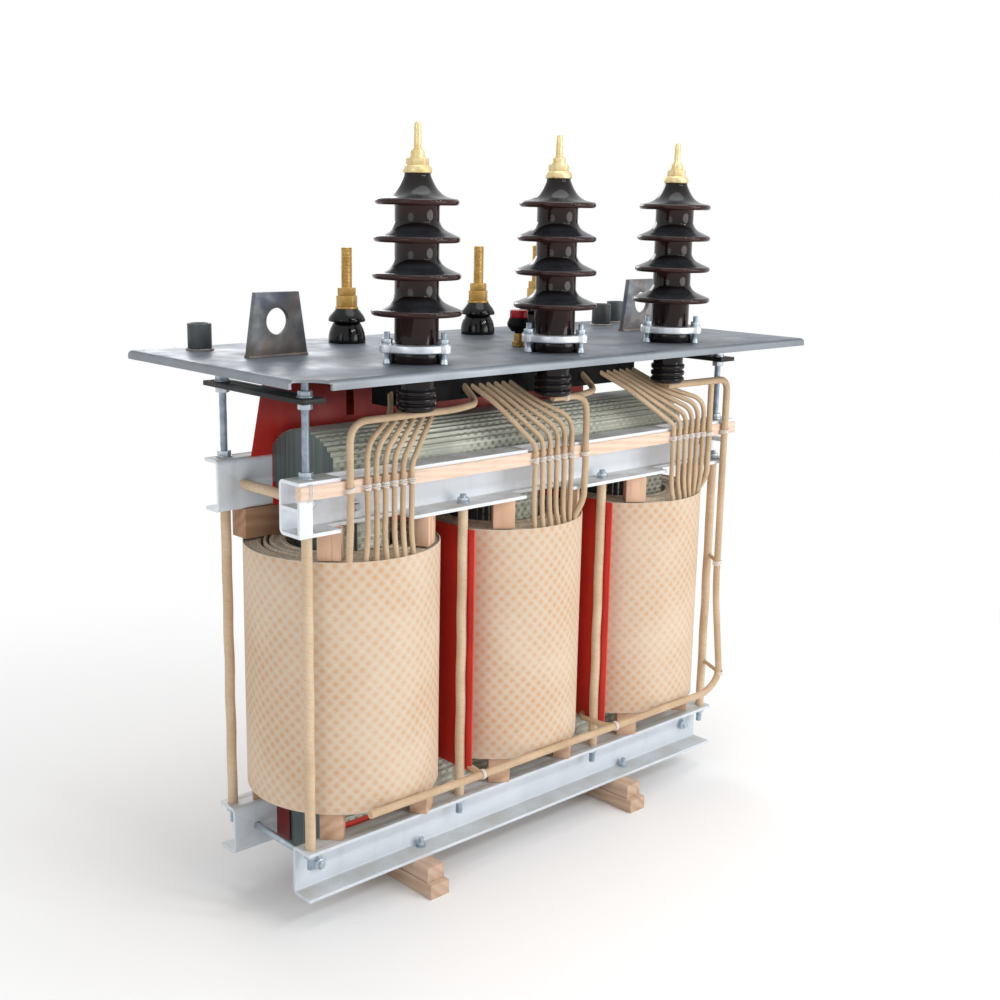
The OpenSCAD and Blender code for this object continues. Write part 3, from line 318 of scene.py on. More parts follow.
def laminations():
    """Stacked core sheets: lines of sheet edges above, painted lighter there against the cover's shade, dull faces
    with rows of pressed marks in front, dark ends.
    """
    f = Finish("core_laminations", metal=0.25)
    x, _, z = f.split(f.place)
    normal = f.split(f.add("ShaderNodeNewGeometry").outputs["Normal"])
    sheets = f.noise(1, (2.0, 420, 2.0), detail=4, rough=0.7)
    rolled = f.noise(1, (3.0, 3.0, 330), detail=3, rough=0.6)
    cloud = f.noise(9, detail=4)
    end = f.ramp(f.math("ABSOLUTE", normal[0]), 0.5, 0.8)
    face = f.ramp(f.math("ABSOLUTE", normal[1]), 0.5, 0.8)
    # Painted light: the tops get pale colours, lighter than the fronts, to make up for the shade of the cover.
    base = f.blend(f.ramp(sheets, 0.32, 0.68), srgb(236, 236, 224), srgb(196, 200, 186))
    base = f.blend(face, base, f.blend(f.ramp(rolled, 0.34, 0.66), srgb(200, 201, 188), srgb(154, 159, 146)))
    base = f.blend(f.ramp(cloud, 0.4, 0.7, 0, 0.35), base, srgb(162, 168, 156))
    base = f.blend(end, base, f.blend(f.ramp(sheets, 0.3, 0.7), srgb(104, 117, 115), srgb(73, 84, 83)))
    row = f.math("MULTIPLY", z, 104)
    step = f.math("MULTIPLY_ADD", f.math("FLOOR", row), 0.5, f.math("MULTIPLY", x, 58))
    aside = f.math("ABSOLUTE", f.math("SUBTRACT", f.math("FRACT", step), 0.5))
    above = f.math("ABSOLUTE", f.math("SUBTRACT", f.math("FRACT", row), 0.5))
    mark = f.math("MULTIPLY", f.ramp(aside, 0.36, 0.06), f.ramp(above, 0.48, 0.12))
    mark = f.math("MULTIPLY", f.math("MULTIPLY", mark, face), f.ramp(f.noise(6, detail=2), 0.36, 0.56))
    base = f.blend(f.math("MULTIPLY", mark, 0.72), base, srgb(88, 96, 86))
    f.bump(f.math("SUBTRACT", sheets, mark), 0.3, 0.0012)
    return f.paint(base, f.ramp(cloud, 0.3, 0.7, 0.42, 0.62))


def cotton():
    """Twisted white cord."""
    f = Finish("white_cotton_cord", rough=0.85)
    twist = f.noise(900, detail=2)
    f.bump(twist, 0.5, 0.0006)
    return f.paint(f.blend(f.ramp(twist, 0.35, 0.7), srgb(236, 230, 224), srgb(204, 192, 182)))


PAPER = winding_paper()
EDGES = paper_edges()
LEAD = lead_wrap("wrapped_lead_paper", srgb(205, 180, 149), srgb(188, 161, 129), 0.011)
ROD = lead_wrap("wrapped_rod_paper", srgb(216, 194, 166), srgb(202, 176, 146), 0.016)
RED = red_board("red_insulating_board", srgb(212, 52, 42), srgb(190, 42, 36), srgb(218, 90, 74))
# Painted shade: a darker copy of the red board for the low flaps, which lie in shade.
FLAP_SHADED = red_board("painted_shade_red_board", srgb(124, 20, 24), srgb(100, 14, 18), srgb(130, 40, 38))
PAINT = clamp_paint("grey_clamp_paint", srgb(216, 222, 229), srgb(204, 211, 219))
# Painted light: a lighter copy of the grey paint for the upper channels, which the cover shades.
PAINT_LIT = clamp_paint("painted_light_clamp_paint", srgb(236, 241, 247), srgb(226, 232, 239))
BLOCK = wood("block_beech", srgb(206, 172, 146), srgb(188, 150, 120), 0)
# Painted shade: a darker copy of the beech for the rear top blocks, which lie in shade.
BLOCK_REAR_SHADED = wood("painted_shade_block_beech", srgb(184, 146, 116), srgb(160, 120, 90), 0)
# Painted light: the upright-grained front top blocks are a lighter copy of the beech.
BLOCK_Z_LIT = wood("lit_upright_block_beech", srgb(224, 188, 160), srgb(206, 166, 136), 2)
BEARER = wood("bearer_beech", srgb(200, 173, 151), srgb(178, 147, 122), 1)
STRIP = wood("planed_strip_beech", srgb(238, 212, 192), srgb(226, 194, 170), 0, 2.2)
COVER = mill_steel("rolled_cover_steel", srgb(121, 128, 137), srgb(88, 95, 104), srgb(106, 109, 112), 0.55, 0.4)
# Painted shade: the stud bars are near black, as they lie in shade under the cover.
BAR = mill_steel("painted_shade_bar_steel", srgb(26, 25, 24), srgb(16, 16, 16), srgb(30, 26, 22), 0.1, 0.0, 0.0)
STUB = mill_steel("dark_stub_steel", srgb(80, 85, 88), srgb(54, 58, 61), srgb(72, 68, 64), 0.35, 0.0, 0.0)
LUG = heat_steel()
ZINC = plated("zinc_plate", srgb(200, 210, 218), srgb(170, 182, 192))
CAST = plated("cast_aluminium", srgb(222, 226, 230), srgb(196, 202, 208), 0.36)
# The last colour of each glaze is the painted reflection, mixed with dust, on what faces up.
BROWN = porcelain("brown_glaze", srgb(24, 16, 16), srgb(54, 27, 23), 0.08, srgb(54, 58, 63))
BLACK = porcelain("black_glaze", srgb(14, 15, 15), srgb(30, 32, 32), 0.12, srgb(30, 33, 34))
GOLD = machined("pale_terminal_brass", srgb(230, 211, 164), srgb(208, 184, 130))
BRASS = machined("stud_brass", srgb(200, 164, 98), srgb(176, 138, 72))
# Aged copper, darkened further as painted shade, so the bars read near black through the rear board's slot.
COPPER = machined("aged_bar_copper_and_painted_shade", srgb(104, 66, 50), srgb(74, 46, 36), 0.4)
# Black moulding, darkened further as painted shade for the tap beam under the cover.
MOULD = moulded("black_moulding", srgb(15, 15, 16), srgb(9, 9, 10), 0.5, 0.12)
CAP_RED = moulded("red_cap_plastic", srgb(196, 22, 34), srgb(168, 14, 26), 0.25)
CORE = laminations()
CORD = cotton()


def finished(name, bm, finish, stands_for=(), angle=32, split=None):
    """Piece from a mesh at the origin: smooth faces, sharp edges over an angle, one or more finishes."""
    for face in bm.faces:
        face.smooth = True
        if split:
            face.material_index = split(face)
    for edge in bm.edges:
        edge.smooth = len(edge.link_faces) == 2 and edge.calc_face_angle(0.0) < math.radians(angle)
    mesh = bpy.data.meshes.new(name)
    bm.to_mesh(mesh)
    bm.free()
    if "custom_normal" in mesh.attributes:
        mesh.attributes.remove(mesh.attributes["custom_normal"])
    for mat in finish if isinstance(finish, (list, tuple)) else [finish]:
        mesh.materials.append(mat)
    obj = bpy.data.objects.new(name, mesh)
    bpy.context.scene.collection.objects.link(obj)
    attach(obj, "root")
    if stands_for:
        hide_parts(*stands_for)
    return obj


def joined(bm, part, matrix=None):
    """Adds one mesh to another, through a matrix."""
    mesh = bpy.data.meshes.new("joint")
    if matrix is not None:
        bmesh.ops.transform(part, matrix=matrix, verts=part.verts[:])
    part.to_mesh(mesh)
    part.free()
    bm.from_mesh(mesh)
    bpy.data.meshes.remove(mesh)


def softened(name, node, finish, width=0.8, segments=2, limit=30, cut=None):
    """The solid with its edges broken as on the real piece."""
    bm = bmesh.new()
    bm.from_mesh(nodes[node].data)
    bmesh.ops.remove_doubles(bm, verts=bm.verts[:], dist=1e-5)
    bmesh.ops.dissolve_limit(bm, angle_limit=math.radians(1.5), verts=bm.verts[:], edges=bm.edges[:])
    if cut:
        cut(bm)
    sharp = [e for e in bm.edges if len(e.link_faces) == 2 and e.calc_face_angle(0.0) > math.radians(limit)]
    bmesh.ops.bevel(bm, geom=sharp, offset=width * MM, segments=segments, profile=0.5, affect="EDGES",
                    material=-1, clamp_overlap=True)
    return finished(name, bm, finish, (node,))


def turned(outline, steps=48):
    """Mesh of (radius, height) points in mm spun round the upright axis."""
    bm = bmesh.new()
    row = [bm.verts.new((r * MM, 0, z * MM)) for r, z in outline]
    edges = [bm.edges.new(pair) for pair in zip(row, row[1:])]
    bmesh.ops.spin(bm, geom=row + edges, cent=(0, 0, 0), axis=(0, 0, 1), angle=math.tau, steps=steps,
                   use_merge=True)
    bmesh.ops.remove_doubles(bm, verts=bm.verts[:], dist=1e-6)
    bmesh.ops.recalc_face_normals(bm, faces=bm.faces[:])
    return bm


def rounded(points, radius, steps=3):
    """Outline with its inner points rounded."""
    out = [points[0]]
    for a, b, c in zip(points, points[1:], points[2:]):
        a, b, c = Vector(a), Vector(b), Vector(c)
        k = min(radius, (a - b).length * 0.45, (c - b).length * 0.45)
        if k < 1e-6:
            out.append(tuple(b))
            continue
        p, q = b + (a - b).normalized() * k, b + (c - b).normalized() * k
        for i in range(steps + 1):
            t = i / steps
            out.append(tuple(p * (1 - t) ** 2 + b * 2 * t * (1 - t) + q * t * t))
    return out + [points[-1]]


def at(x, y, z, turn=None):
    """Matrix to a place in mm, with Z turned to another axis."""
    matrix = Matrix.Translation((x * MM, y * MM, z * MM))
    return matrix @ turn if turn is not None else matrix


TO_FRONT = Matrix.Rotation(math.pi / 2, 4, "X")
TO_REAR = Matrix.Rotation(-math.pi / 2, 4, "X")
UNDER = Matrix.Rotation(math.pi, 4, "X")


def hexagon(r, h, z=0.0, edge=1.0):
    """Hexagon nut with broken edges, standing on z."""
    bm = bmesh.new()
    bmesh.ops.create_cone(bm, cap_ends=True, segments=6, radius1=r * MM, radius2=r * MM, depth=h * MM,
                          matrix=at(0, 0, z + h / 2))
    bmesh.ops.bevel(bm, geom=bm.edges[:], offset=edge * MM, segments=2, profile=0.5, affect="EDGES", material=-1)
    return bm


def threaded(r, z0, z1, pitch, steps=20, depth=0.6):
    """Thread shown as its ridges, with a small lead-in at both ends."""
    outline = [(0, z0), (r - depth * pitch, z0)]
    count = max(2, int((z1 - z0) / pitch))
    for i in range(count):
        z = z0 + (i + 0.5) * (z1 - z0) / count
        step = (z1 - z0) / count
        outline += [(r - depth * pitch * 0.9, z - step * 0.42), (r, z - step * 0.1), (r, z + step * 0.1)]
    return turned(outline + [(r - depth * pitch, z1), (0, z1)], steps)


def washer(r, h, z=0.0):
    """Round washer standing on z."""
    return turned(rounded([(0, z), (r, z), (r, z + h), (0, z + h)], 0.6), 32)


def smooth_path(points, cut, step=6.0):
    """Path in mm with rounded corners, cut into short even steps."""
    path = [Vector(p) for p in points]
    bent = [path[0]]
    for a, b, c in zip(path, path[1:], path[2:]):
        k = min(cut, (a - b).length * 0.48, (c - b).length * 0.48)
        p, q = b + (a - b).normalized() * k, b + (c - b).normalized() * k
        bent += [p * (1 - t) ** 2 + b * 2 * t * (1 - t) + q * t * t for t in [i / 8 for i in range(9)]]
    bent.append(path[-1])
    out = [bent[0]]
    for p in bent[1:]:
        gap = (p - out[-1]).length
        count = max(1, round(gap / (step * 4)))
        out += [out[-1].lerp(p, (i + 1) / count) for i in range(count)] if gap > 0.5 else []
    return out


def swept(path, radius, sides=12, swell=None):
    """Tube along a path in mm, with a wrap map: turns round it and metres along it."""
    bm = bmesh.new()
    wrap = bm.loops.layers.uv.new("wrap")
    frames, along, side, run = [], [], Vector((0.37, 0.91, 0.17)), 0.0
    for i, p in enumerate(path):
        ahead = (path[min(i + 1, len(path) - 1)] - path[max(i - 1, 0)]).normalized()
        side = (side - ahead * side.dot(ahead)).normalized()
        axes = Matrix((side, ahead.cross(side), ahead)).transposed().to_4x4()
        size = swell(i) if swell else 1.0
        frames.append(Matrix.Translation(p * MM) @ axes @ Matrix.Diagonal((size, size, 1, 1)))
        run += (p - path[i - 1]).length * MM if i else 0.0
        along.append(run)
    start = bmesh.ops.create_circle(bm, cap_ends=True, radius=radius * MM, segments=sides, matrix=frames[0])
    ring = {v: k for k, v in enumerate(start["verts"])}
    edges = [e for e in bm.edges]
    for i in range(1, len(path)):
        grown = bmesh.ops.extrude_edge_only(bm, edges=edges)["geom"]
        new = [g for g in grown if isinstance(g, bmesh.types.BMVert)]
        bmesh.ops.transform(bm, matrix=frames[i] @ frames[i - 1].inverted(), verts=new)
        fresh = {v: ring[e.other_vert(v)] for v in new for e in v.link_edges if e.other_vert(v) in ring}
        for face in (g for g in grown if isinstance(g, bmesh.types.BMFace)):
            turns = [ring[c.vert] if c.vert in ring else fresh[c.vert] for c in face.loops]
            over = max(turns) - min(turns) > 1
            for c, k in zip(face.loops, turns):
                k = sides if over and k == 0 else k
                c[wrap].uv = (k / sides, along[i - 1] if c.vert in ring else along[i])
        edges = [g for g in grown if isinstance(g, bmesh.types.BMEdge) and all(v in fresh for v in g.verts)]
        ring = fresh
    bmesh.ops.edgeloop_fill(bm, edges=edges)
    bmesh.ops.recalc_face_normals(bm, faces=bm.faces[:])
    return bm


def upright_loop(x, y, z, r, lean, shift=0.0, steps=24):
    """Closed path round something upright, leaning across it."""
    return [Vector((x + r * math.cos(a), y + r * math.sin(a), z + lean * math.cos(a + shift)))
            for a in [math.tau * k / steps for k in range(steps + 1)]]


def lying_loop(x, y, z, r, lean=1.2, steps=24):
    """Closed path round something that lies along X."""
    return [Vector((x + lean * math.cos(a), y + r * math.cos(a), z + r * math.sin(a)))
            for a in [math.tau * k / steps for k in range(steps + 1)]]


def nut_end(place, tip, rod=6, pitch=1.75, root=-6.5, disc=(11.8, 2.2), nut=(11, 7.8)):
    """Threaded end of a rod or bolt with its washer and nut."""
    return [(threaded(rod, root, tip, pitch), place), (washer(*disc), place), (hexagon(*nut, disc[1]), place)]


def group(name, parts, finish, stands_for=()):
    """One piece from several meshes, each with its matrix."""
    bm = bmesh.new()
    for part, matrix in parts:
        joined(bm, part, matrix)
    return finished(name, bm, finish, stands_for)


# Places and sizes that several pieces share, in mm
PHASES = (-358.0, 0.0, 358.0)
NAMES = ("left", "middle", "right")
COVER_TOP, COVER_X, COVER_Y = 950.0, 612, 262
WINDING_Z, WINDING_TOP = 193.0, 633.0
UPPER_Z, UPPER_TOP = 686.0, 776.0
ROD_XS, ROD_ROW, ROD_WRAP_R = (-516.0, -184.4, 173.6, 516.0), 120, 8.9
CLAMP_FACE = 96
HV_XS, HV_ROW, HV_HEIGHT = (-318, 0, 318), -151, 299
LV_XS, LV_ROW = (-224, -62, 100, 262), 163
TIE_Z = 756

# Dots round a winding, and metres from one row to the next
DOT_COLUMNS, DOT_PITCH = 49, 0.0224
# Radius in metres from which a winding is wrap, and the depth of its dents
WRAP_FROM, DENT = 0.1705, 0.0006

# Windings: dotted outer wrap, rounded edges, layered ends with a duct
layers = []
for k in range(8):
    r = 140.5 + k * 3.4
    layers += [(r, 629.6 + rng.uniform(-0.6, 0.6)), (r + 2.9, 630.0 + rng.uniform(-0.6, 0.6)), (r + 3.1, 627.6)]
ends = [(135.0, 633.0), (135.4, 606.0), (139.8, 606.0), (140.0, 629.0)] + layers + [(168.4, 631.6), (169.0, 633.0)]
low_ends = [(r, WINDING_Z + WINDING_TOP - z) for r, z in reversed(ends)]
wall = [(170.4, 632.8), (171.0, 631.9)]
wall += [(171.0, 631.9 - (k + 1) * 36.5) for k in range(11)] + [(171.0, 194.1), (170.4, 193.2)]
outline = [(131.0, 194.0), (131.0, 632.0), (131.4, 633.0)] + ends + wall + low_ends + [(131.4, 193.0), (131.0, 194.0)]
for x, name in zip(PHASES, NAMES):
    bm = turned(outline, 108)
    wrap = bm.loops.layers.uv.new("wrap")
    for face in bm.faces:
        around = [math.atan2(c.vert.co.x, -c.vert.co.y) / math.tau + 0.5 for c in face.loops]
        over = max(around) - min(around) > 0.5
        for c, a in zip(face.loops, around):
            a = a + 1 if over and a < 0.5 else a
            c[wrap].uv = (a * DOT_COLUMNS, c.vert.co.z / DOT_PITCH)
    for v in bm.verts:
        reach = v.co.xy.length
        if reach > WRAP_FROM:
            turn = math.atan2(v.co.y, v.co.x)
            dent = DENT * (1 + math.sin(3 * turn + x) * math.cos(v.co.z * 9 + x)) * 0.6
            v.co.xy *= (reach - dent) / reach
    bmesh.ops.translate(bm, verts=bm.verts[:], vec=(x * MM, 0, 0))
    centre = x * MM
    finished("hv_winding_wrap_" + name, bm, [PAPER, EDGES], ("hv_winding_" + name,), 40,
             split=lambda f, c=centre: int(abs(f.normal.z) > 0.4 or
                                           (f.calc_center_median().xy - Vector((c, 0))).length < 0.169))
group("lv_winding_rings", [(turned(rounded([(97, 194), (97, 632), (98, 633), (105, 633), (105, 631), (117, 631),
      (117, 633), (124, 633), (125, 632), (125, 194), (97, 194)], 0.6), 72), at(x, 0, 0)) for x in PHASES],
      EDGES, ("lv_windings",))

# Core, boards and clamps
softened("upper_yoke_packets", "upper_yoke", CORE, 0.7)
softened("lower_yoke_packets", "lower_yoke", CORE, 0.7)
softened("limb_packets", "core_limbs", CORE, 0.7)
softened("barrier_boards", "phase_barriers", RED, 0.5)
softened("yoke_boards", "yoke_sheets", RED, 0.4)
flaps = []
for s in (-1, 1):
    flap = bmesh.new()
    bmesh.ops.create_cube(flap, size=1, matrix=at(s * 443.4, 68, 101) @ Matrix.Diagonal((0.0016, 0.040, 0.084, 1)))
    bmesh.ops.bevel(flap, geom=flap.edges[:], offset=0.5 * MM, segments=2, profile=0.5, affect="EDGES", material=-1)
    flaps.append((flap, None))
group("lower_board_flaps", flaps, FLAP_SHADED)
for node, name in (("lower_clamp_front", "front_lower_channel"), ("lower_clamp_rear", "rear_lower_channel"),
                   ("upper_clamp_front", "front_upper_channel"), ("upper_clamp_rear", "rear_upper_channel")):
    # The upper channels take the lighter copy of the paint, as painted light.
    softened(name, node, PAINT if "lower" in node else PAINT_LIT, 0.9, 2, 40)

# Wood
softened("front_top_wood_blocks", "top_blocks_front", BLOCK_Z_LIT, 1.4)
softened("rear_top_wood_blocks", "top_blocks_rear", BLOCK_REAR_SHADED, 1.4)
softened("front_foot_wood_blocks", "bottom_blocks_front", BLOCK, 1.4)
softened("rear_foot_wood_blocks", "bottom_blocks_rear", BLOCK, 1.4)
softened("planed_lead_strip", "lead_support_strip", STRIP, 1.0)
softened("bearer_beams", "bearers", BEARER, 1.8)
softened("bearer_pads", "bearer_blocks", BEARER, 1.6)

# Tie rods: wrapped shank, threaded ends, nuts
for side, word in ((-1, "front"), (1, "rear")):
    wraps, metal = [], []
    for x in ROD_XS:
        y = side * ROD_ROW
        path = [Vector((x + 0.5 * math.sin(k * 1.3 + x), y + 0.4 * math.sin(k + x), 143 + k * 543 / 24))
                for k in range(25)]
        path[0].xy, path[-1].xy = (x, y), (x, y)
        wraps.append((swept(path, ROD_WRAP_R, 16), None))
        for z, turn, tip in ((UPPER_Z + 6, None, 16), (137.0, UNDER, 31)):
            metal += nut_end(at(x, y, z, turn), tip)
    group(f"{word}_tie_rod_wraps", wraps, ROD, (f"tie_rods_{word}",))
    group(f"{word}_tie_rod_ends", metal, ZINC)

# Rods across the clamps
wraps, metal = [], []
(upper_x, upper_z), (lower_x, lower_z) = (497, 731), (485, 99)
shank = rounded([(0, -CLAMP_FACE), (6, -CLAMP_FACE), (6, CLAMP_FACE), (0, CLAMP_FACE)], 0.3)
for s in (-1, 1):
    path = [Vector((s * upper_x + 0.4 * math.sin(k * 1.7), -90 + k * 18, upper_z + 0.4 * math.cos(k * 1.1)))
            for k in range(11)]
    wraps.append((swept(path, ROD_WRAP_R, 16), None))
    for x, z in ((s * upper_x, upper_z), (s * lower_x, lower_z)):
        for turn, y in ((TO_FRONT, -CLAMP_FACE), (TO_REAR, CLAMP_FACE)):
            metal += nut_end(at(x, y, z, turn), 16)
    metal.append((turned(shank, 24), at(s * lower_x, 0, lower_z, TO_FRONT)))
group("upper_cross_rod_wraps", wraps, ROD, ("upper_cross_rods",))
group("plated_cross_rods", metal, ZINC, ("lower_cross_rods",))

# Cover with its studs and bars
def opened_corner(bm):
    """Takes the lip away under the round bite at the front left corner and closes the cut."""
    side_x, side_y, under = -0.5665, -0.2165, 0.945
    for spot, way in (((side_x, 0, 0), (1, 0, 0)), ((0, side_y, 0), (0, 1, 0)), ((0, 0, under), (0, 0, 1))):
        bmesh.ops.bisect_plane(bm, geom=bm.verts[:] + bm.edges[:] + bm.faces[:], dist=1e-6, plane_co=spot,
                               plane_no=way)
    mids = [(f, f.calc_center_median()) for f in bm.faces]
    low = [f for f, c in mids if c.x < side_x and c.y < side_y and c.z < under - 1e-5]
    bmesh.ops.delete(bm, geom=low, context="FACES")
    rim = [e for e in bm.edges if len(e.link_faces) == 1]
    closing = []
    for axis, value in ((0, side_x), (1, side_y)):
        cut = [e for e in rim if all(abs(v.co[axis] - value) < 1e-5 for v in e.verts)]
        ends = [v for e in cut for v in e.verts if abs(v.co.z - under) < 1e-5]
        closing.append(bm.edges.new(ends))
        bmesh.ops.edgeloop_fill(bm, edges=cut + closing[-1:])
    bmesh.ops.edgeloop_fill(bm, edges=[e for e in rim if e.is_valid and len(e.link_faces) == 1] + closing)
    bmesh.ops.recalc_face_normals(bm, faces=bm.faces[:])


softened("rolled_cover", "cover_plate", COVER, 0.5, 1, 50, opened_corner)
softened("stud_bars", "cover_cross_bars", BAR, 0.8)
metal = []
under_bar, over_bar = 886, 905
for x in (ROD_XS[0], ROD_XS[-1]):
    for y in (-ROD_ROW, ROD_ROW):
        spot = at(x, y, 0)
        metal.append((threaded(6.5, 764.5, 945, 1.75, 18), spot))
        metal += [(hexagon(12, 11, z), spot) for z in (UPPER_TOP, under_bar, over_bar)]
        metal += [(washer(13.5, 2.0, z), spot) for z in (UPPER_TOP, over_bar)]
group("cover_stud_set", metal, ZINC, ("cover_studs",))


def bead(path, radius=2.6):
    """Weld bead, rippled along its run."""
    return swept(path, radius, 8, lambda i: 1 + 0.16 * math.sin(i * 1.9) + rng.uniform(-0.06, 0.06))


# Lifting lugs and pipe stubs with their welds
softened("welded_lifting_lugs", "lifting_lugs", LUG, 1.2, 2, 25)
softened("plugged_pipe_stubs", "pipe_stubs", STUB, 1.0)
beads = []
lug_x, lug_sides, stub_r = 456, (40.0, 52.0), 21.3
for s in (-1, 1):
    for y in lug_sides:
        beads.append((bead([Vector((s * lug_x - 58 + k * 2.9, y, COVER_TOP + 1.2)) for k in range(41)]), None))
for across, back in ((-0.838, 0.742), (0.766, 0.642), (0.908, 0.78)):
    ring = upright_loop(across * COVER_X, back * COVER_Y, COVER_TOP + 1, stub_r, 0, steps=40)
    beads.append((bead(ring), None))
group("cover_weld_beads", beads, LUG)


def bell(top, reach, z, height, hollow, cone, count=16):
    """Top of a shed from its neck out to its rim: a cone with a hollow where it meets the body."""
    return [(top + reach * t, z + height * ((1 - cone) * (1 - t) ** hollow + cone * (1 - t)))
            for t in [(i / count) ** 1.5 for i in range(count + 1)]]


# High-voltage bushings. Each shed: height of its rim, rim's radius, neck's radius, rise, hollow and share of cone
BODY_R, LIP_R = 36.0, 5.2
SHEDS = [(255.0, 67.5, 21.5, 36.0, 3.4, 0.18)] + [(z, rim, BODY_R, 23.0, 7, 0.58)
                                                  for z, rim in ((197.0, 69.65), (139.0, 71.8), (81.0, 74.0))]
outline = [(0, HV_HEIGHT), (20.0, HV_HEIGHT), (21.2, 298.2), (21.5, 297.0)]
for z, rim, top, rise, hollow, cone in SHEDS:
    outline += bell(top, rim - 4.2 - top, z + 4.9, rise, hollow, cone)
    outline += [(rim - LIP_R + LIP_R * math.cos(a), z + LIP_R * math.sin(a)) for a in
                [math.radians(70 - 20 * i) for i in range(9)]]
    outline += [(BODY_R + (rim - BODY_R) * 0.62, z - 3.4), (BODY_R + (rim - BODY_R) * 0.3, z - 2.2), (40.5, z - 2.8),
                (37.2, z - 4.8), (BODY_R, z - 7.5)]
outline += [(BODY_R, 24), (36.6, 20), (38.5, 18.2), (43, 18), (44.6, 17.2), (45, 15.5), (45, 0.6), (44.4, 0), (33, 0)]
outline += [(32.6, -2), (30.4, -20), (29, -38)]
for k in range(3):
    z = -42.5 - 12.5 * k
    outline += [(29, z), (31.4, z - 1.2), (32.8, z - 3.2), (33, z - 5.4), (32.7, z - 7.6), (31.2, z - 10),
                (29, z - 11.3)]
outline += [(28.6, -79.4), (27.6, -80), (0, -80)]
for x, name in zip(HV_XS, NAMES):
    bm = turned(outline, 80)
    share = bm.verts.layers.float.new("rim")
    for v in bm.verts:
        z, r = v.co.z / MM, v.co.xy.length / MM
        for level, rim, *_ in SHEDS:
            if abs(z - level + 1) < 7:
                v[share] = max(0.0, min(1.0, (r - rim + 12) / 12)) if z > level - 1 else 0.9
            elif level - 26 < z < level - 6 and r < 37:
                v[share] = 0.45
    bmesh.ops.transform(bm, matrix=at(x, HV_ROW, COVER_TOP), verts=bm.verts[:])
    finished("brown_bushing_" + name, bm, BROWN, ("hv_bushing_" + name,), 50)
caps, cast, metal = [], [], []
ring_outline = rounded([(36.8, 18.4), (36.8, 30), (38, 31), (54.6, 31), (56, 29.4), (56, 19.6), (54.6, 18), (37.2, 18),
                        (36.8, 18.4)], 0.6)
ear_outline = rounded([(0, 18), (11.8, 18), (12, 19), (12, 30), (11, 31.2), (0, 31.2)], 0.8)
foot_outline = rounded([(4.4, 9.2), (5.4, 9), (7.2, 0.3), (4.4, 0.2)], 0.8)
ear_reach = 53
for x in HV_XS:
    cast.append((turned(ring_outline, 72), at(x, HV_ROW, COVER_TOP)))
    for turn in (47, 167, 287):
        a = math.radians(turn)
        spot = at(x + ear_reach * math.cos(a), HV_ROW + ear_reach * math.sin(a), COVER_TOP)
        cast.append((turned(ear_outline, 28), spot))
        metal += [(threaded(5, 0.2, 51, 1.5, 18, 0.45), spot), (washer(10.6, 1.8, 31), spot),
                  (hexagon(9.6, 8, 32.8), spot), (turned(foot_outline, 24), spot)]
group("bushing_clamp_rings", cast, CAST, ("hv_clamp_rings",))
group("bushing_ring_studs", metal, ZINC)
for x in HV_XS:
    spot, more = at(x, HV_ROW, COVER_TOP + HV_HEIGHT), 5 if x < 0 else 0
    caps += [
        (turned(rounded([(0, 0), (23.2, 0), (23.5, 6), (22.2, 10), (18, 13.4), (0, 13.4)], 2.0, 4), 40), spot),
        (hexagon(18.8, 11.0, 12.4, 1.2), spot),
        (turned(rounded([(0, 23), (13, 23), (13, 25.6), (11.6, 26), (11.4, 34), (10.2, 35.2), (0, 35.2)], 0.8), 32),
         spot),
        (turned([(0, 35), (7.6, 35), (7.4, 38), (6.0, 39.2), (5.7, 68 + more), (5.4, 71 + more), (4.2, 73 + more),
                 (0, 73 + more)], 28), spot)]
group("pale_brass_terminals", caps, GOLD, ("hv_terminals",))

# Low-voltage bushings, studs and bars
outline = [(10.5, -25), (19, -25), (20, -24), (20, 0), (33, 0), (34, 1), (34, 6), (33.6, 12), (32.4, 19), (30, 26),
           (27, 32), (24.6, 36.4), (24.2, 38.4), (25.4, 39.6), (29, 39.4), (32.6, 38.8), (33.8, 39.8), (34, 41.8),
           (32.6, 46), (29.6, 51), (26, 55.6), (22.8, 59.6), (21, 62), (10.5, 62), (10.5, -25)]
spots = [at(x, LV_ROW, COVER_TOP) for x in LV_XS]
bm = bmesh.new()
for spot in spots:
    joined(bm, turned(outline, 56), spot)
bm.verts.layers.float.new("rim")
finished("black_bushings", bm, BLACK, ("lv_bushings",), 50)
metal = []
for spot in spots:
    metal += [(threaded(10, -70, 172, 2.5, 28, 0.32), spot), (washer(21, 4, 62), spot),
              (hexagon(19.5, 20, 66, 1.4), spot)] + [(hexagon(17, 14, z, 1.2), spot) for z in (86, -39, -65)]
group("brass_stud_set", metal, BRASS, ("lv_terminals",))
softened("copper_bars", "lv_bars", COPPER, 0.7)

# Tap changer
softened("tap_beam", "tap_changer", MOULD, 1.5)
softened("tap_drive_head", "tap_changer_drive", MOULD, 0.8, 2, 28)
softened("tap_drive_cap", "tap_changer_cap", CAP_RED, 1.6, 3)
sleeve = rounded([(7, 0), (11, 0), (11, 4), (8.6, 5), (8.6, 20), (8, 24), (7, 24)], 0.8)
spot = at(0, -59, COVER_TOP)
group("tap_drive_gland", [(turned(sleeve, 28), spot), (hexagon(12, 7, 2.5), spot)], BRASS)

# Leads: their rows in front of the strip, the height where they leave the windings, their ends at the tap beam
TAPS, TAP_COUNT, TAP_PITCH, TAP_FOOT_R = (-375.0, 3.8, 388.0), 6, 18.5, 161.5
TAP_ROW, PHASE_ROW, RISER_ROW, FOOT_ROW = -154.4, -155.7, -156.7, -177.7
ENTRY_Z, ENTRY_R, FOOT_Z = 630.0, 165, 200
TAIL_Z, RUN_Z, RISER_X = 864.3, 863.3, 502.99
BEAM_Y, BEAM_Z = -74.0, 894.0


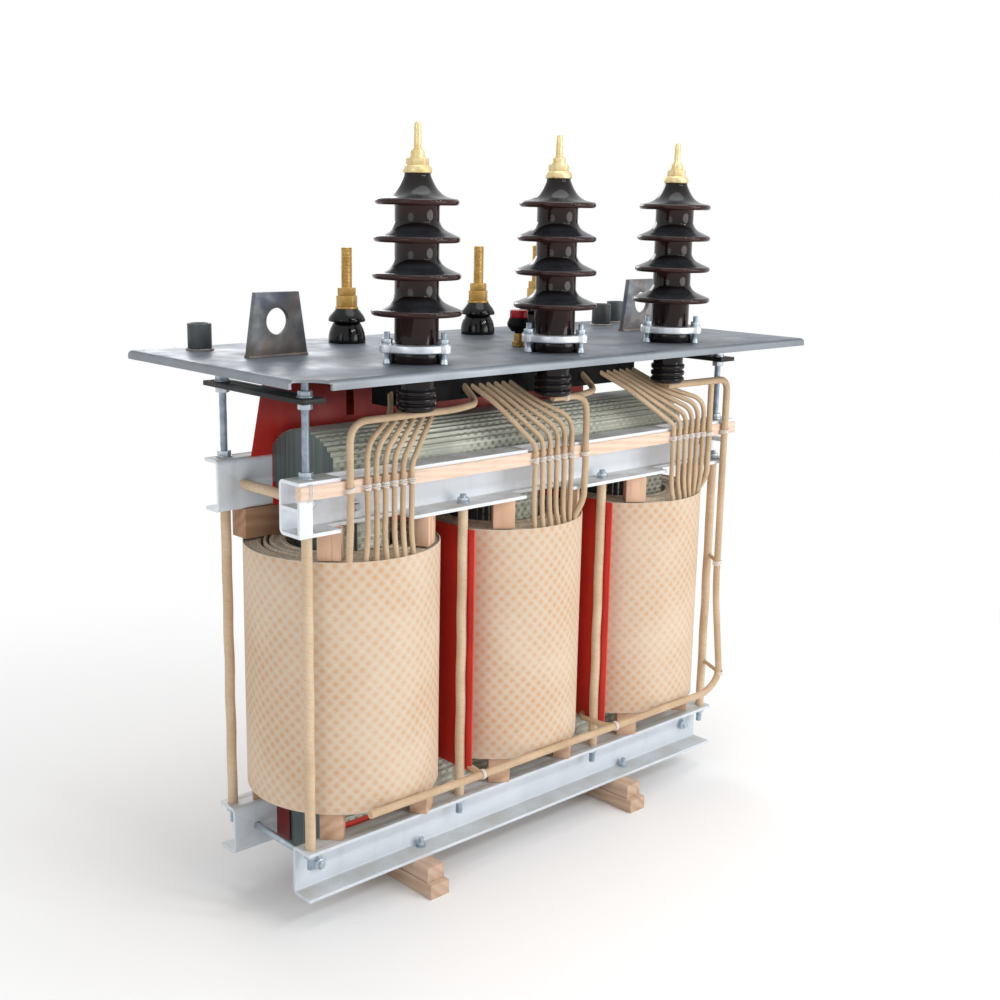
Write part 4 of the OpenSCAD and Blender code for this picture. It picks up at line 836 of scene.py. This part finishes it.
def tap_path(start, end, i, phase):
    """Route of one tap lead from its winding's rim, up the strip and over to the tap beam."""
    k = (i - (TAP_COUNT - 1) / 2) * TAP_PITCH
    x, far = start + k, end + k
    fan = -0.45 if end > start else 0.45
    foot = math.sqrt(TAP_FOOT_R ** 2 - (x - phase) ** 2)
    sway = [rng.uniform(-1.2, 1.2) for _ in range(3)]
    return [(x + sway[0], -foot, ENTRY_Z), (x + sway[1], TAP_ROW, 664.8), (x + sway[2], TAP_ROW - 0.2, 712),
            (x, TAP_ROW, 758.5), (x, TAP_ROW, 804.5 + k * fan), (x + (far - x) * 0.7, -118, 860.5),
            (far, BEAM_Y, BEAM_Z)]


for name, start, end, phase in zip(NAMES, TAPS, (-264.9, -89.5, 243.4), PHASES):
    group(f"{name}_tap_lead_set", [(swept(smooth_path(tap_path(start, end, i, phase), 28.5, 5), 4.75), None)
                                   for i in range(TAP_COUNT)], LEAD, (f"tap_leads_{name}",))
paths = []
DROPS = (-456.45, 85.92, 452.15)
for bushing, drop, entry, phase in zip(HV_XS, DROPS, (-88.92, 66.0, 92.34), PHASES):
    y = math.sqrt(ENTRY_R ** 2 - entry ** 2)
    top = [(drop, PHASE_ROW, RUN_Z - 6)] if phase > 0 else [(drop, PHASE_ROW, TAIL_Z), (bushing, HV_ROW, TAIL_Z)]
    paths.append([(phase + entry, -y, ENTRY_Z), (phase + entry, -y - 0.3, ENTRY_Z + 8),
                  (drop, PHASE_ROW, 692 if phase < 0 else 668), (drop, PHASE_ROW, 712),
                  (drop + 1.0, PHASE_ROW - 0.2, 740), (drop, PHASE_ROW, UPPER_TOP)] + top)
for bushing, end in zip(HV_XS, (-150.36, 150.36)):
    paths.append([(bushing, HV_ROW, TAIL_Z), ((bushing + end) / 2, HV_ROW, TAIL_Z), (end, -116.4, TAIL_Z),
                  (end, BEAM_Y, BEAM_Z)])
group("phase_lead_set", [(swept(smooth_path(p, 36, 5), 6, 14), None) for p in paths], LEAD,
      ("phase_leads",))
foot = [(HV_XS[2], HV_ROW, RUN_Z), (RISER_X - 56, RISER_ROW, RUN_Z), (RISER_X, RISER_ROW, RUN_Z),
        (RISER_X, RISER_ROW, UPPER_TOP), (RISER_X - 0.8, RISER_ROW - 0.2, UPPER_Z), (RISER_X, RISER_ROW, 413),
        (RISER_X, FOOT_ROW, 228), (RISER_X - 42, FOOT_ROW, FOOT_Z), (PHASES[2], FOOT_ROW, FOOT_Z),
        (180, FOOT_ROW - 0.5, FOOT_Z - 0.6), (PHASES[1], FOOT_ROW, FOOT_Z), (-180, FOOT_ROW - 0.5, FOOT_Z - 0.5),
        (PHASES[0], FOOT_ROW, FOOT_Z), (-435, FOOT_ROW, FOOT_Z)]
group("long_foot_lead", [(swept(smooth_path(foot, 42, 6), 7, 14), None)], LEAD, ("foot_lead",))

# Short leads from under the windings to the foot lead, and struts from the right tie rod to the riser
BRANCHES = [[(-128, -78, 199), (-150, -84, 197), (-162, -96, 196), (-171, -137, 196), (-179, -176, 198)],
            [(226, -78, 199), (186, -80, 197), (166, -92, 196), (167, -148, 196), (176, -176, 198)]]
STRUTS = [[(515.5, -124, 484), (RISER_X + 2, -152, 476)], [(515.5, -124, 246), (RISER_X + 2, -172, 236)]]
group("foot_branch_leads", [(swept(smooth_path(p, 16, 5), r, 12), None)
                            for paths, r in ((BRANCHES, 5.6), (STRUTS, 4)) for p in paths], LEAD)

# Bolts through the lower flanges into the bearers, and one on the upper front channel
metal = []
for x in (-265, 284):
    for y in (-108, 108):
        metal += nut_end(at(x, y, 61), 17, 5, 1.5, -5, (10, 1.8), (8.4, 6.6))
metal += nut_end(at(-408, -CLAMP_FACE, 714, TO_FRONT), 17, 6, 1.75, -5, (11, 2), (9.8, 8))
group("clamp_bolts", metal, ZINC)

# White cord that ties the leads to the strip, to each other and to the struts
ties = []


def tie(path, radius):
    """Adds one run of cord to the ties."""
    ties.append((swept(path, radius, 8), None))


LACE_STEPS = 16
for start in TAPS:
    for turn in (0.0, math.pi):
        path = []
        for i in range(TAP_COUNT * LACE_STEPS + 1):
            a = i / LACE_STEPS * math.tau
            path.append(Vector((start + (i / LACE_STEPS - TAP_COUNT / 2) * TAP_PITCH, -155.0 + 5.6 * math.cos(a),
                                TIE_Z + 4.2 * math.sin(a / 2 + turn) + rng.uniform(-0.5, 0.5))))
        tie(path, 1.6)
    for i in range(TAP_COUNT):
        x = start + (i - (TAP_COUNT - 1) / 2) * TAP_PITCH
        for lift in (-1.6, 1.6):
            tie(upright_loop(x, TAP_ROW, TIE_Z + lift, 6.0, 1.2, i, 20), 1.3)
for x, y, r in [(drop, PHASE_ROW, 7.2) for drop in DROPS] + [(RISER_X, RISER_ROW, 8.2)]:
    for lift in (-2.4, 0.0, 2.4):
        tie(upright_loop(x, y, TIE_Z + lift, r, 2), 1.3)
for x in (BRANCHES[0][-1][0], BRANCHES[1][-1][0]):
    for k in range(3):
        tie(lying_loop(x - 3 + k * 2.4, FOOT_ROW - 0.2, FOOT_Z - 0.4, 8.2), 1.1)
for k in range(3):
    tie(lying_loop(34 + k * 2.4, HV_ROW, TAIL_Z, 7.2), 1.2)
wood_ys = [v.co.y / MM for v in nodes["lead_support_strip"].data.vertices]
front, back, low, high = min(wood_ys) - 0.9, max(wood_ys) + 0.9, 746.2, 770.8
for k in range(3):
    x = -531 + k * 2.6
    ring = [(x, front, low), (x + 1, front, high), (x + 1.4, back, high), (x + 0.6, back, low), (x, front, low)]
    tie(smooth_path(ring, 1.6, 3), 1.1)
for z, y in ((474, RISER_ROW), (234, -176.8)):
    for k in range(3):
        tie(upright_loop(RISER_X, y, z - 3 + k * 3, 8.2, 1.5), 1.5)
group("cotton_ties", ties, CORD)

# Stage: a white floor that keeps the shadow near the part and fades into the background
scene = bpy.context.scene
floor_mesh = bpy.data.meshes.new("studio_floor")
bm = bmesh.new()
bmesh.ops.create_circle(bm, cap_ends=True, radius=14, segments=96)
bm.to_mesh(floor_mesh)
bm.free()
floor = bpy.data.objects.new("studio_floor", floor_mesh)
scene.collection.objects.link(floor)
f = Finish("studio_floor_white", rough=0.9)
f.shader.inputs["Specular IOR Level"].default_value = 0.0
glow = f.add("ShaderNodeEmission")
glow.inputs["Color"].default_value = (1, 1, 1, 1)
fade = f.add("ShaderNodeMixShader")
f.feed(fade.inputs[0], f.ramp(f.vmath("LENGTH", f.place), 0.8, 2.2))
f.feed(fade.inputs[1], f.shader.outputs[0])
f.feed(fade.inputs[2], glow.outputs[0])
f.feed(f.tree.nodes["Material Output"].inputs["Surface"], fade.outputs[0])
floor_mesh.materials.append(f.paint((0.93, 0.93, 0.93, 1)))

scene.view_settings.view_transform = "Standard"
world = scene.world or bpy.data.worlds.new("studio")
scene.world = world
world.use_nodes = True
tree = world.node_tree
sky = tree.nodes["Background"]
sky.inputs["Color"].default_value = (1, 1, 1, 1)
rays = tree.nodes.new("ShaderNodeLightPath")
seen = rays.outputs["Is Camera Ray"]
for kind in ("Is Glossy Ray", "Is Transmission Ray"):
    most = tree.nodes.new("ShaderNodeMath")
    most.operation = "MAXIMUM"
    tree.links.new(seen, most.inputs[0])
    tree.links.new(rays.outputs[kind], most.inputs[1])
    seen = most.outputs[0]
level = tree.nodes.new("ShaderNodeMapRange")
level.inputs["To Min"].default_value = 0.6
level.inputs["To Max"].default_value = 1.0
tree.links.new(seen, level.inputs["Value"])
tree.links.new(level.outputs[0], sky.inputs["Strength"])


def softbox(name, spot, aim, width, height, power):
    """Oval area lamp at a place in metres, turned to what it lights."""
    data = bpy.data.lights.new(name, "AREA")
    data.shape = "ELLIPSE"
    data.size, data.size_y, data.energy = width, height, power
    lamp = bpy.data.objects.new(name, data)
    scene.collection.objects.link(lamp)
    lamp.location = spot
    lamp.rotation_euler = (Vector(aim) - Vector(spot)).to_track_quat("-Z", "Y").to_euler()


softbox("front_softbox", (1.6, -3.5, 1.2), (0, 0, 0.6), 2.6, 1.8, 52)
softbox("left_softbox", (-3.6, -1.2, 1.6), (0, 0, 0.6), 1.8, 1.6, 13)
softbox("top_softbox", (0.2, -0.4, 3.8), (0, 0, 0.7), 2.4, 2.4, 40)
softbox("rear_softbox", (1.2, 3.4, 2.2), (0, 0, 0.6), 2.0, 1.6, 32)
softbox("near_window", (-0.1, -3.4, 3.2), (0, 0, 1.0), 0.34, 0.34, 13)
softbox("middle_window", (0.7, -3.2, 3.2), (0, 0, 1.0), 0.32, 0.32, 12)
softbox("far_window", (1.5, -2.9, 3.2), (0, 0, 1.0), 0.34, 0.34, 13)

lens = bpy.data.cameras.new("photo_camera")
lens.lens, lens.sensor_width = 48.28, 36.0
camera = bpy.data.objects.new("photo_camera", lens)
scene.collection.objects.link(camera)
camera.location = (-1.7107, -1.8343, 1.2027)
camera.rotation_euler = (Matrix.Rotation(math.radians(-43.29), 3, "Z") @ Matrix.Rotation(math.radians(77.59), 3, "X")
                         @ Matrix.Rotation(math.radians(1.12), 3, "Z")).to_euler()
lens.clip_end = 60
scene.camera = camera
